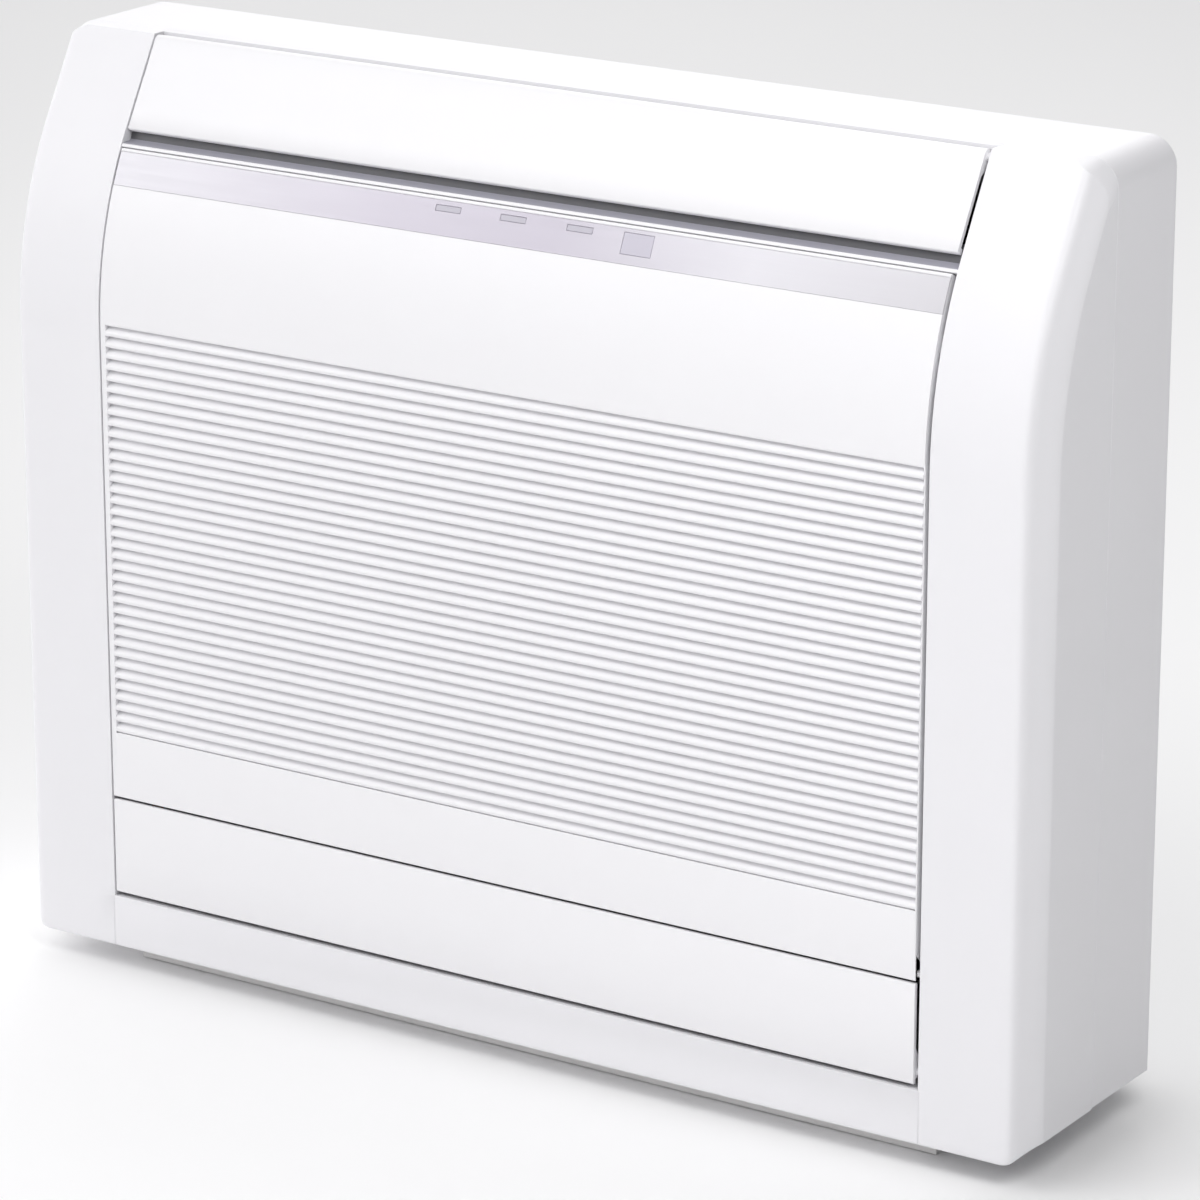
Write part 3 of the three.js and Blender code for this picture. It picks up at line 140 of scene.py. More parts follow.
def set_stops(ramp, stops):
    """Fills a colour ramp from (position, colour) pairs."""
    while len(ramp.elements) < len(stops):
        ramp.elements.new(1.0)
    for element, (position, color) in zip(ramp.elements, stops):
        element.position = position
        element.color = (*color, 1.0)


def make_node(tree, kind, settings=None, sockets=None, out=0):
    """Any node: its settings first, then the values or links of its sockets."""
    node = tree.nodes.new(kind)
    for name, value in (settings or {}).items():
        if name == "stops":
            set_stops(node.color_ramp, value)
        else:
            setattr(node, name, value)
    for name, value in (sockets or {}).items():
        plug(tree, value, node.inputs[name])
    return Wire(tree, node.outputs[out])


print("sums on a wire: minus and times")

# %% [markdown]
# ## Finishes
# Each finish is one material with one Principled shader. The nodes could be made by hand for every
# material, but a small class keeps the steps that all of them share: soft noise in the part's own place,
# a colour between two colours, a value spread over a new range, and a bump. Colours go through a Mix
# node, because a Math node would turn them grey.


# %% Finishes
class Finish:
    """A material being made, with its one Principled shader."""

    def __init__(self, name, color, roughness, metallic=0.0, **shader):
        self.material = bpy.data.materials.new(name)
        self.material.use_nodes = True
        self.tree = self.material.node_tree
        self.shader = self.tree.nodes["Principled BSDF"]
        self.set("Base Color", (*color, 1.0))
        self.set("Roughness", roughness)
        self.set("Metallic", metallic)
        for socket, value in shader.items():
            self.set(socket.replace("_", " ").title(), value)

    def set(self, socket, value):
        plug(self.tree, value, self.shader.inputs[socket])

    def node(self, kind, settings=None, sockets=None, out=0):
        return make_node(self.tree, kind, settings, sockets, out)

    def place(self):
        """The surface's own place in the part, in metres."""
        return self.node("ShaderNodeTexCoord", out="Object")

    def noise(self, scale, detail=3.0, stretch=(1.0, 1.0, 1.0)):
        """Soft noise from 0 to 1, with a scale in bumps per metre along each axis."""
        mapped = self.node("ShaderNodeMapping", None, {"Vector": self.place(), "Scale": stretch})
        return self.node("ShaderNodeTexNoise", None, {"Vector": mapped, "Scale": scale, "Detail": detail})

    def mix(self, factor, first, second):
        """A colour between two colours; the node's sockets 6 and 7 are its pair of colours."""
        first, second = [(*end, 1.0) if isinstance(end, tuple) else end for end in (first, second)]
        sockets = {0: factor, 6: first, 7: second}
        return self.node("ShaderNodeMix", {"data_type": "RGBA"}, sockets, out=2)

    def range(self, value, low, high, to_low, to_high):
        """A value spread from one range to another, and held at its ends."""
        ends = {"Value": value, "From Min": low, "From Max": high, "To Min": to_low, "To Max": to_high}
        return self.node("ShaderNodeMapRange", {"clamp": True}, ends)

    def bump(self, height, distance, strength):
        sockets = {"Height": height, "Distance": distance, "Strength": strength}
        self.set("Normal", self.node("ShaderNodeBump", None, sockets))


print("steps that a finish can take:", [step for step in vars(Finish) if not step.startswith("_")])

# %% [markdown]
# ## Plastics
# The casing is near-white moulded ABS. Its tool was spark textured, which leaves a grain of about a fifth
# of a millimetre that takes the shine off without hiding it. One noise at that scale feeds the bump, and
# slower ones move the tone and the roughness by a few per cent, as real mouldings vary where they cooled.
# The panels between the pillars come from a finer tool and shine a little more.


# %% Plastics
def moulded(name, color, roughness, grain=5200.0, depth=0.00004, tone=0.03):
    """Textured ABS: a fine bump, and slow changes of tone and roughness."""
    made = Finish(name, color, roughness)
    slow = made.noise(7.0, 2.0)
    darker = tuple(channel * (1.0 - tone) for channel in color)
    made.set("Base Color", made.mix(slow, darker, color))
    made.set("Roughness", made.range(made.noise(60.0), 0.3, 0.7, roughness - 0.03, roughness + 0.05))
    made.bump(made.noise(grain, 2.0), depth, 0.35)
    return made.material


CASING_WHITE = (0.86, 0.855, 0.88)
casing_plastic = moulded("casing_plastic", CASING_WHITE, 0.42)
panel_plastic = moulded("panel_plastic", (0.885, 0.88, 0.90), 0.34, grain=7000.0, depth=0.00002, tone=0.02)
plinth_plastic = moulded("plinth_plastic", (0.86, 0.85, 0.84), 0.5)
inner_plastic = moulded("inner_plastic", (0.60, 0.60, 0.61), 0.5)
dark_plastic = moulded("dark_plastic", (0.022, 0.022, 0.025), 0.48, tone=0.2)
rubber_black = moulded("rubber_black", (0.012, 0.012, 0.012), 0.8, grain=2600.0, depth=0.0001, tone=0.2)
print("plastics:", [m.name for m in bpy.data.materials if "plastic" in m.name])

# %% [markdown]
# ## Strip, windows and metals
# The strip above the grille is a lavender-silver foil over a moulding. Its colour is painted pale at both
# ends and greyer in the middle, a painted reflection, and it has fine lengthwise brushing. The windows in
# it are tinted plastic over a dark well. Glass shaders could show the well, but it is too shallow to see,
# so one tint under a clear coat is enough. Inside, the sheet is galvanised steel with broad flecks, the fins
# are thin aluminium and the pipes are drawn copper. Nothing is scratched or stained, because the unit is
# new.


# %% Strip, windows and metals
def foil():
    """The strip's foil, with a painted reflection: its colour greys towards the middle across."""
    made = Finish("strip_foil", (0.7, 0.67, 0.74), 0.36, metallic=0.15)
    across = made.node("ShaderNodeSeparateXYZ", None, {"Vector": made.place()})
    share = made.range(across, -0.295, 0.295, 0.0, 1.0)
    # A painted reflection: the foil is painted paler at both ends and greyer in the middle.
    painted_reflection_tones = [
        (0.0, (0.69, 0.68, 0.72)),
        (0.35, (0.56, 0.53, 0.60)),
        (0.55, (0.53, 0.50, 0.57)),
        (0.78, (0.70, 0.69, 0.73)),
        (1.0, (0.62, 0.61, 0.64)),
    ]
    ramp = made.node("ShaderNodeValToRGB", {"stops": painted_reflection_tones}, {"Fac": share})
    brushed = made.noise(900.0, 2.0, stretch=(0.02, 1.0, 1.0))
    made.set("Base Color", made.mix(brushed * 0.12, ramp, (0.55, 0.53, 0.58)))
    made.set("Roughness", made.range(brushed, 0.3, 0.7, 0.3, 0.42))
    made.bump(brushed, 0.00001, 0.3)
    return made.material


def tinted(name, color, roughness):
    """Tinted plastic under a clear coat."""
    made = Finish(name, color, roughness, Coat_Weight=0.6)
    haze = made.noise(35.0, 2.0)
    made.set("Base Color", made.mix(haze, tuple(channel * 0.93 for channel in color), color))
    made.set("Roughness", made.range(haze, 0.3, 0.7, roughness, roughness + 0.06))
    made.bump(made.noise(3000.0, 1.0), 0.00001, 0.2)
    return made.material


def metal(name, color, roughness, fleck, stretch=(1.0, 1.0, 1.0), metallic=0.9):
    """Bare sheet or drawn metal, with flecks or draw lines."""
    made = Finish(name, color, roughness, metallic=metallic)
    marks = made.noise(fleck, 4.0, stretch)
    made.set("Base Color", made.mix(marks, tuple(channel * 0.86 for channel in color), color))
    made.set("Roughness", made.range(marks, 0.3, 0.7, roughness - 0.06, roughness + 0.1))
    made.bump(marks, 0.00003, 0.25)
    return made.material


strip_foil = foil()
receiver_tint = tinted("receiver_tint", (0.50, 0.475, 0.56), 0.2)
lamp_tint = tinted("lamp_tint", (0.44, 0.42, 0.49), 0.22)
zinc_sheet = metal("zinc_sheet", (0.62, 0.63, 0.65), 0.42, 90.0)
fin_aluminium = metal("fin_aluminium", (0.74, 0.75, 0.76), 0.36, 600.0, (1.0, 1.0, 0.04))
drawn_copper = metal("drawn_copper", (0.78, 0.37, 0.22), 0.3, 900.0, (1.0, 1.0, 0.05))
# The slot trim is one dark grey plastic: its recess gets a darker tone with painted shade, and its step a
# paler copy as painted light.
trim_dark = moulded("trim_dark", (0.115, 0.115, 0.125), 0.46, tone=0.08)
trim_pale = moulded("trim_pale", (0.36, 0.355, 0.41), 0.44, tone=0.04)
filter_grey = moulded("filter_grey", (0.16, 0.17, 0.19), 0.55, tone=0.1)
board_green = moulded("board_green", (0.03, 0.16, 0.07), 0.4, tone=0.15)
print("materials so far:", len(bpy.data.materials))

# %% [markdown]
# ## The one front curve
# Every front piece follows the same line: upright up to 425 mm, then bent back on a 240 mm radius for
# thirty degrees, then straight to the top. The pieces could be drawn one by one, but a shared function
# keeps them flush, as the mould makers keep them flush with one master curve. A point is given by its
# height on that curve and by its distance behind it.

# %% The one front curve
WIDTH, HEIGHT, DEPTH = 740.0, 600.0, 200.0
CURVE_START, CURVE_RADIUS, CURVE_ANGLE = 425.0, 240.0, math.radians(30)
CURVE_END = CURVE_START + CURVE_RADIUS * math.sin(CURVE_ANGLE)
CURVE_STEPS = 24
OPENING_LEFT, OPENING_RIGHT = -296.0, 296.6
PANEL_LEFT, PANEL_RIGHT = -294.9, 293.1
WALL, SEAM_DEPTH, CASING_DEPTH, SIDE_BOTTOM = 2.5, 78.0, 150.0, 28.0
LIP_BOTTOM, LIP_DEPTH, BAR_TOP = 16.0, 26.0, 50.3
SETBACK = 0.4


def front_lean(height):
    """The angle by which the front face leans back at a height."""
    if height <= CURVE_START:
        return 0.0
    return min(math.asin(min((height - CURVE_START) / CURVE_RADIUS, 1.0)), CURVE_ANGLE)


def front_depth(height):
    """How far back the front face lies at a height."""
    if height > CURVE_END:
        return CURVE_RADIUS * (1 - math.cos(CURVE_ANGLE)) + (height - CURVE_END) * math.tan(CURVE_ANGLE)
    return CURVE_RADIUS * (1 - math.cos(front_lean(height)))


def behind_face(height, distance):
    """A (depth, height) point that lies a distance behind the front face, square to it."""
    lean = front_lean(height)
    return front_depth(height) + distance * math.cos(lean), height - distance * math.sin(lean)


def face_heights(low, high):
    """Heights from low to high, close together where the face bends."""
    turns = [CURVE_ANGLE * i / CURVE_STEPS for i in range(CURVE_STEPS + 1)]
    bend = [CURVE_START + CURVE_RADIUS * math.sin(turn) for turn in turns]
    return [low] + [h for h in bend if low + 0.5 < h < high - 0.5] + [high]


def face_line(low, high, distance):
    """Points along the front curve, a distance behind it."""
    return [behind_face(h, distance) for h in face_heights(low, high)]


def spot(x, depth, height):
    """Millimetres across, behind the front plane and up, as a point of the frame in metres."""
    return Vector((x * MM, (depth - DEPTH / 2) * MM, height * MM))


print("face at the top of the casing lies", round(front_depth(HEIGHT), 1), "mm back")

# %% [markdown]
# ## Making pieces
# Every piece ends in the same place: it rides on a body and stands for the solid that it replaces. Its
# mesh is first built in a scratch mesh, where points that lie on each other are merged. Faces that look
# the wrong way would shade black and grow their wall outwards, so they are turned there too.

# %% Making pieces
# A point inside the casing, and how near points may lie before they are merged, all in metres.
INSIDE = Vector((0.0, 0.04, 0.3))
POINT_MERGE, SHEET_MERGE = 0.00001, 0.00005


def mesh_of(name, build, merge=POINT_MERGE, inside=None):
    """A mesh that build() fills, with doubled points merged and its faces turned away from the inside."""
    work = bmesh.new()
    build(work)
    bmesh.ops.remove_doubles(work, verts=work.verts, dist=merge)
    bmesh.ops.dissolve_degenerate(work, edges=work.edges, dist=merge / 2)
    if inside is None:
        bmesh.ops.recalc_face_normals(work, faces=work.faces)
    else:
        work.normal_update()
        facing = sum(f.calc_area() * f.normal.dot(f.calc_center_median() - inside) for f in work.faces)
        if facing < 0:
            bmesh.ops.reverse_faces(work, faces=work.faces)
    mesh = bpy.data.meshes.new(name)
    work.to_mesh(mesh)
    work.free()
    return mesh


def finish_piece(name, mesh, body, slot, materials, nodes=(), sharp=32.0):
    """Puts a mesh into the scene as a piece that rides on a body and stands for its nodes."""
    mesh.set_sharp_from_angle(angle=math.radians(sharp))
    for polygon in mesh.polygons:
        polygon.use_smooth = True
    piece = bpy.data.objects.new(name, mesh)
    bpy.context.scene.collection.objects.link(piece)
    for material in materials:
        mesh.materials.append(material)
    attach(piece, body)
    if nodes:
        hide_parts(*nodes)
    return piece


print("every piece goes in through", finish_piece.__name__)

# %% [markdown]
# ## Sweeps, sheets and edges
# Three ways cover nearly all of the unit. A sweep pushes a closed outline along X, as an extruder would.
# A sheet is a grid of points given a wall, as a moulding is a skin with a thickness. A dressed copy takes
# a solid of the frame as it is and rounds its edges. The wall and the rounding are modifiers, so the
# meshes stay simple to read.


# %% Sweeps, sheets and edges
def add_sweep(work, outline, left, right, tags=None):
    """Sweeps a closed outline of (depth, height) points from left to right."""
    rings = [[work.verts.new(spot(x, d, h)) for d, h in outline] for x in (left, right)]
    count = len(outline)
    for i in range(count):
        j = (i + 1) % count
        face = work.faces.new((rings[0][i], rings[0][j], rings[1][j], rings[1][i]))
        if tags:
            face.material_index = tags[i]
    for ring in rings:
        work.faces.new(ring)


def add_block(work, x0, d0, z0, x1, d1, z1):
    """A plain block between two opposite corners."""
    add_sweep(work, [(d0, z0), (d1, z0), (d1, z1), (d0, z1)], x0, x1)


def circle(depth, height, radius, sides):
    """(depth, height) points round an axis that runs across."""
    turns = [math.tau * i / sides for i in range(sides)]
    return [(depth + radius * math.cos(turn), height + radius * math.sin(turn)) for turn in turns]


def add_bar(work, x0, x1, depth, height, radius, sides=40):
    """A round bar that runs across."""
    add_sweep(work, circle(depth, height, radius, sides), x0, x1)


def add_grid(work, rows, keep=lambda row, column: True):
    """A sheet of four-sided faces through rows of points."""
    made = [[work.verts.new(point) for point in row] for row in rows]
    for r in range(len(rows) - 1):
        for c in range(len(rows[0]) - 1):
            if keep(r, c):
                work.faces.new((made[r][c], made[r][c + 1], made[r + 1][c + 1], made[r + 1][c]))
    return made


def thicken(piece, wall, even=True):
    """Gives a sheet its wall, inwards."""
    solid = piece.modifiers.new("wall", "SOLIDIFY")
    solid.thickness = wall * MM
    solid.offset = -1.0
    solid.use_even_offset = even


def round_edges(piece, width, angle, segments=3):
    """Rounds the edges that turn by more than an angle."""
    bevel = piece.modifiers.new("rounded_edges", "BEVEL")
    bevel.width = width * MM
    bevel.segments = segments
    bevel.limit_method = "ANGLE"
    bevel.angle_limit = math.radians(angle)
    bevel.harden_normals = True
    bevel.use_clamp_overlap = True


print("outline helpers:", [helper.__name__ for helper in (add_sweep, add_block, circle, add_bar, add_grid)])

# %% [markdown]
# ## Front frame: how its pillars turn
# The two pillars and the bottom bar are one moulding, shaped like a U. The face is flat across each
# pillar, then turns through a narrow crisp edge into a broad bevel and meets the side in a soft crease.
# It could be modelled flat and bevelled, but the real turn is not round, so a short table gives it and a
# smooth run is laid through the table. The face's top corner is rounded more than the side's, and the two
# are blended along the side.

# %% Front frame: how its pillars turn
# Inset from the side, how far the face has gone back there, and how far its foot has risen.
PILLAR_ROUNDING = [
    (18, 0, 0),
    (13, 0.4, 1.3),
    (9.6, 3.0, 4.0),
    (6.2, 8.0, 7.2),
    (3, 12.8, 9.7),
    (1, 16.2, 11.1),
    (0, 18.5, 11.6),
]
GROOVE_HALF, GROOVE_SINK = 0.7, 0.6
CASING_CORNER, FACE_CORNER = 18.0, 27.0
FLAT_COLUMNS = (310.0, 330.0, 343.5, 348.0)
SIDE_SHARES = (0.02, 0.08, 0.25, 0.5, 0.75, 1.0)


def corner_drop(inset, radius):
    """How far a rounded top corner has fallen at an inset from the side."""
    reach = radius - min(max(inset, 0.0), radius)
    return radius - math.sqrt(radius ** 2 - reach ** 2)


def eased(before, start, end, after, t):
    """A smooth way from start to end that also keeps in line with the values before and after."""
    slow, fast = 2 * before - 5 * start + 4 * end - after, 3 * (start - end) + after - before
    return start + 0.5 * t * (end - before + t * (slow + t * fast))


def rounded_steps(table, parts):
    """A smooth run through the rows of a table, several steps to each stretch."""
    rows = []
    last = len(table) - 1
    for i in range(last):
        around = (table[max(i - 1, 0)], table[i], table[i + 1], table[min(i + 2, last)])
        for step in range(parts):
            rows.append([eased(*values, step / parts) for values in zip(*around)])
    return rows + [list(table[last])]


def pillar_columns(opening):
    """Columns from the opening to the seam: x, shift back, drop, rise, and the share of the side's depth."""
    near = (opening, opening + GROOVE_HALF, opening + 2 * GROOVE_HALF, *FLAT_COLUMNS)
    columns = [(x, 0.0, 0.0, 0.0, None) for x in near]
    rounding = rounded_steps(PILLAR_ROUNDING, 4)
    for inset, shift, rise in rounding:
        columns.append((WIDTH / 2 - inset, shift, corner_drop(inset, FACE_CORNER), rise, None))
    side_shift, side_rise = rounding[-1][1:]
    for share in SIDE_SHARES:
        drop = FACE_CORNER + (CASING_CORNER - FACE_CORNER) * share
        columns.append((WIDTH / 2, side_shift, drop, side_rise, share))
    return columns


right_pillar, mirrored = pillar_columns(OPENING_RIGHT), pillar_columns(-OPENING_LEFT)
left_pillar = [(-x, shift, drop, rise, share) for x, shift, drop, rise, share in reversed(mirrored)]
print("columns of points:", len(left_pillar), "to the left,", len(right_pillar), "to the right")

# %% [markdown]
# ## Front frame: its skin
# The skin is laid out as one grid across the whole width, and left open where the panels stand. The walls
# of the opening are pulled back from its rim, and the sheet is then given its moulded thickness. Below
# each bottom corner of the opening a fine groove runs down the bar. It is one column of points that lies
# a little deeper, because a cut by a boolean would break the grid.

# %% Front frame: its skin
FLANGE_DEPTH = 34.0
FOOT_ROUNDING = 1.4
# Depth and height of the rows behind and under the lip.
BELOW_FACE = ((SEAM_DEPTH, SIDE_BOTTOM), (LIP_DEPTH, SIDE_BOTTOM), (LIP_DEPTH, LIP_BOTTOM))
# Rows lie close together at the rounded foot, at the rim of the opening and at the rounded top corner.
FACE_ROWS = [LIP_BOTTOM + 0.4 * i for i in range(4)] + [LIP_BOTTOM + 4.0 + 2.0 * i for i in range(5)]
FACE_ROWS += [BAR_TOP - 1.2, BAR_TOP] + face_heights(60.0, HEIGHT - FACE_CORNER)
FACE_ROWS += [HEIGHT - FACE_CORNER + 1.5 * i for i in range(1, 19)]


def frame_rows(columns, grooves):
    """Rows of points: under the lip, up the face, and back to the seam at the top."""
    feet = [(x, LIP_BOTTOM + rise) for x, shift, drop, rise, share in columns]
    rows = [[spot(x, depth, max(height, foot)) for x, foot in feet] for depth, height in BELOW_FACE]
    for height in FACE_ROWS:
        row = []
        for place, (x, shift, drop, rise, share) in enumerate(columns):
            held = min(max(height, LIP_BOTTOM + rise), HEIGHT - drop)
            lip = max(FOOT_ROUNDING - (held - LIP_BOTTOM - rise), 0.0) ** 2 * 0.5
            depth = front_depth(held) + shift
            if place in grooves and height < BAR_TOP:
                depth += GROOVE_SINK
            if share is not None:
                depth = depth + (SEAM_DEPTH - depth) * share
            row.append(spot(x, min(depth + lip, SEAM_DEPTH), held))
        rows.append(row)
    seam = [(x, corner_drop(WIDTH / 2 - abs(x), CASING_CORNER)) for x, *rest in columns]
    return rows + [[spot(x, SEAM_DEPTH, HEIGHT - drop) for x, drop in seam]]


def add_opening_wall(work, rim, way):
    """Pulls a side wall back from the rim of the opening."""
    back = []
    for vert in rim:
        depth = vert.co.y / MM + DEPTH / 2
        pulled = max(FLANGE_DEPTH, min(depth + FLANGE_DEPTH, SEAM_DEPTH))
        back.append(work.verts.new((vert.co.x, (pulled - DEPTH / 2) * MM, vert.co.z)))
    for i in range(len(rim) - 1):
        work.faces.new((rim[i], rim[i + 1], back[i + 1], back[i])[::way])


def build_front_frame(work):
    columns = left_pillar + right_pillar
    on_side = [share is not None for x, shift, drop, rise, share in columns]
    middle = len(left_pillar) - 1
    rows = frame_rows(columns, (middle - 1, middle + 2))
    open_from = len(BELOW_FACE) + FACE_ROWS.index(BAR_TOP)

    def solid(r, c):
        if r < len(BELOW_FACE) and (on_side[c] or on_side[c + 1]):
            return False
        return not (c == middle and (r == 0 or r >= open_from))

    made = add_grid(work, rows, solid)
    for column, way in ((middle, -1), (middle + 1, 1)):
        add_opening_wall(work, [made[r][column] for r in range(open_from, len(rows) - 1)], way)
    corners = [made[open_from][middle], made[open_from][middle + 1]]
    shelf_back = (LIP_DEPTH - WALL - DEPTH / 2) * MM
    shelf = [work.verts.new((vert.co.x, shelf_back, vert.co.z)) for vert in reversed(corners)]
    work.faces.new(corners + shelf)


front_mesh = mesh_of("front_frame_skin", build_front_frame, SHEET_MERGE, INSIDE)
front_frame = finish_piece("front_frame_skin", front_mesh, "cabinet", "casing_white", [casing_plastic],
                           ["front_frame"])
thicken(front_frame, WALL, even=False)
round_edges(front_frame, 0.5, 60.0)
print("front frame faces:", len(front_frame.data.polygons))

# %% [markdown]
# ## Rear casing
# Behind the seam the casing is a plain arch: two sides and a top joined by an 18 mm corner, with a return
# at the back that frames the steel chassis. A tongue of the top runs forward between the pillars, up to
# the louver. The arch could be a bevelled box, but it is made as rings from front to back, and rings set
# close to the back edge round it over, so that it catches a thin light as a real moulded edge does.

# %% Rear casing
CASING_FRONT = 78.3
BACK_HALF, BACK_HEIGHT, BACK_CORNER = 338.3, 576.3, 8.0
FOOT_INNER = 297.0
TONGUE_REACH = 72.4
# Each ring's share of the way to the back, and how far it is drawn in.
RINGS = [(0.0, 0.25), (0.004, 0.0), (0.05, 0.0), (0.5, 0.0), (0.96, 0.0), (0.98, 0.0)]
RINGS += [(1 - 0.02 * (1 - math.sin(turn)), 1.4 * (1 - math.cos(turn))) for turn in (0.5, 1.0, math.pi / 2)]


def arch(half, low, high, corner, foot, steps=14):
    """An upright outline with rounded top corners, and a short floor at each foot: (x, height) points."""
    turns = [math.pi / 2 * i / steps for i in range(steps + 1)]
    side, top = half - corner, high - corner
    right = [(foot, low), (half - 0.6, low), (half, low + 0.6)]
    right += [(side + corner * math.cos(turn), top + corner * math.sin(turn)) for turn in turns]
    return right + [(-x, z) for x, z in reversed(right)]


def build_rear_casing(work):
    rows = []
    for share, inset in RINGS:
        depth = CASING_FRONT + (CASING_DEPTH - CASING_FRONT) * share
        outline = arch(WIDTH / 2 - inset, SIDE_BOTTOM + inset, HEIGHT - inset, CASING_CORNER, FOOT_INNER)
        rows.append([spot(x, depth, z) for x, z in outline])
    outline = arch(BACK_HALF, SIDE_BOTTOM + WALL, BACK_HEIGHT, BACK_CORNER, FOOT_INNER)
    rows.append([spot(x, CASING_DEPTH, z) for x, z in outline])
    add_grid(work, rows)
    sides = (OPENING_LEFT + 0.3, OPENING_RIGHT - 0.3)
    add_grid(work, [[spot(x, depth, HEIGHT) for x in sides] for depth in (CASING_FRONT + 0.6, TONGUE_REACH)])


rear_mesh = mesh_of("rear_casing_skin", build_rear_casing, SHEET_MERGE, INSIDE)
rear_casing = finish_piece("rear_casing_skin", rear_mesh, "cabinet", "casing_white", [casing_plastic],
                           ["rear_casing"])
thicken(rear_casing, WALL)
round_edges(rear_casing, 0.4, 60.0)
print("rear casing faces:", len(rear_casing.data.polygons))

# %% [markdown]
# ## Intake grille panel
# The panel is one moulding with thirty-seven slats. Each slat stands proud at its lower edge and leans
# back to its upper edge, which hides under the slat above, as boards do on a wall. On the real panel air
# goes up behind each slat, but no dark gap shows from a standing person's height, so the steps are closed
# here. The slats could be booleans, but an outline with all the steps in it, swept across, gives clean
# faces. The panel hangs a little to the left in its opening, which leaves the wider gap at the right.

# %% Intake grille panel
PANEL_LOW, STRIP_LOW, PANEL_HIGH = 118.0, 513.5, 535.2
RIB_LOW, RIB_PITCH, RIB_COUNT = 161.5, 7.2, 37
RIB_LEFT, RIB_RIGHT = PANEL_LEFT + 3.6, PANEL_RIGHT - 0.8
RIB_GROOVE, RIB_END = 5.4, 1.5
STRIP_HIGH = 533.2
PANEL_WALL = 3.0
STILE_PLACE, STILE_HALF, STILE_BACK = 98.0, 1.3, 10.0
PIN_RADIUS, PIN_REACH = 2.4, 2.2
PANEL_PIN = (5.0, 121.5)


def rib_outline():
    """Front line of the ribbed zone from low to high: each slat's face leans back under the next one."""
    line = []
    for i in range(RIB_COUNT):
        low = RIB_LOW + i * RIB_PITCH
        line += [(RIB_GROOVE, low - 0.5), (1.6, low + 0.1), (0.85, low + 0.5), (SETBACK + 0.1, low + 1.2)]
        line += [(SETBACK, low + 1.9), (SETBACK + 0.2, low + 2.8), (1.3, low + 3.7), (2.7, low + 4.7)]
        line += [(4.4, low + 5.7), (RIB_GROOVE, low + 6.3)]
    return line


def hinge_pins(work, depth, height):
    """A short pin on each side, from the hung piece into the frame."""
    add_bar(work, OPENING_LEFT - PIN_REACH, PANEL_LEFT + 1, depth, height, PIN_RADIUS)
    add_bar(work, PANEL_RIGHT - 1, OPENING_RIGHT + PIN_REACH, depth, height, PIN_RADIUS)


def build_panel(work):
    plain = [(SETBACK + 0.6, PANEL_LOW), (SETBACK, PANEL_LOW + 0.6)]
    bed = SETBACK + 1.3
    top = face_line(STRIP_LOW, STRIP_HIGH, bed)
    top += [behind_face(STRIP_HIGH + 0.1, SETBACK + 0.2), behind_face(STRIP_HIGH + 0.5, SETBACK)]
    top += [behind_face(PANEL_HIGH - 0.5, SETBACK), behind_face(PANEL_HIGH, SETBACK + 0.6)]
    rib_low, rib_high = RIB_LOW - 0.4, RIB_LOW + RIB_COUNT * RIB_PITCH
    lower = plain + [(SETBACK, rib_low - 0.6), (SETBACK + 0.4, rib_low)]
    upper = [(SETBACK + 0.4, rib_high), (SETBACK, rib_high + 0.8)]
    upper += face_line(CURVE_START + 5, STRIP_LOW, SETBACK) + top
    back = face_line(PANEL_LOW, PANEL_HIGH, SETBACK + PANEL_WALL + 3.2)[::-1]
    ribbed = lower + [(RIB_GROOVE, rib_low)] + rib_outline() + [(RIB_GROOVE, rib_high)] + upper + back
    add_sweep(work, ribbed, RIB_LEFT, RIB_RIGHT)
    edge = plain + face_line(CURVE_START - 60, STRIP_LOW, SETBACK) + top + back
    add_sweep(work, edge, PANEL_LEFT, RIB_LEFT)
    sunk_edge = [(max(d, RIB_END) if RIB_LOW < h < rib_high else d, h) for d, h in edge]
    add_sweep(work, sunk_edge, RIB_RIGHT, PANEL_RIGHT)
    ear = [(SETBACK + 1, 118), (8.5, 118), (8.5, 125.5), (SETBACK + 1, 133.5)]
    for x in (PANEL_LEFT, PANEL_RIGHT - 3):
        add_sweep(work, ear, x, x + 3)
    hinge_pins(work, *PANEL_PIN)
    for x in (-STILE_PLACE, STILE_PLACE):
        add_block(work, x - STILE_HALF, RIB_GROOVE + 0.3, RIB_LOW, x + STILE_HALF, STILE_BACK, rib_high)


panel_mesh = mesh_of("intake_panel_skin", build_panel)
panel = finish_piece("intake_panel_skin", panel_mesh, "intake_grille", "panel_white", [panel_plastic],
                     ["intake_panel"], sharp=40.0)
print("panel faces:", len(panel.data.polygons))

# %% [markdown]
# ## Strip and its windows
# The silver strip lies in a bed in the panel. It is a thin sheet with four holes: one for the remote's
# receiver and three for the lamps. The windows could be painted on, but as pieces of their own they stand
# in the holes with a hairline gap, and each can be lit or changed. Nothing is printed on the strip.

# %% Strip and its windows
# Each window's middle across, half its width, and its low and high edge.
RECEIVER = (86.5, 10.5, 519.0, 531.0)
LAMPS = [(x, 9.0, 527.0, 530.5) for x in (-48.0, -1.5, 45.5)]
SEAT_GAP, STRIP_WALL = 0.03, 0.9


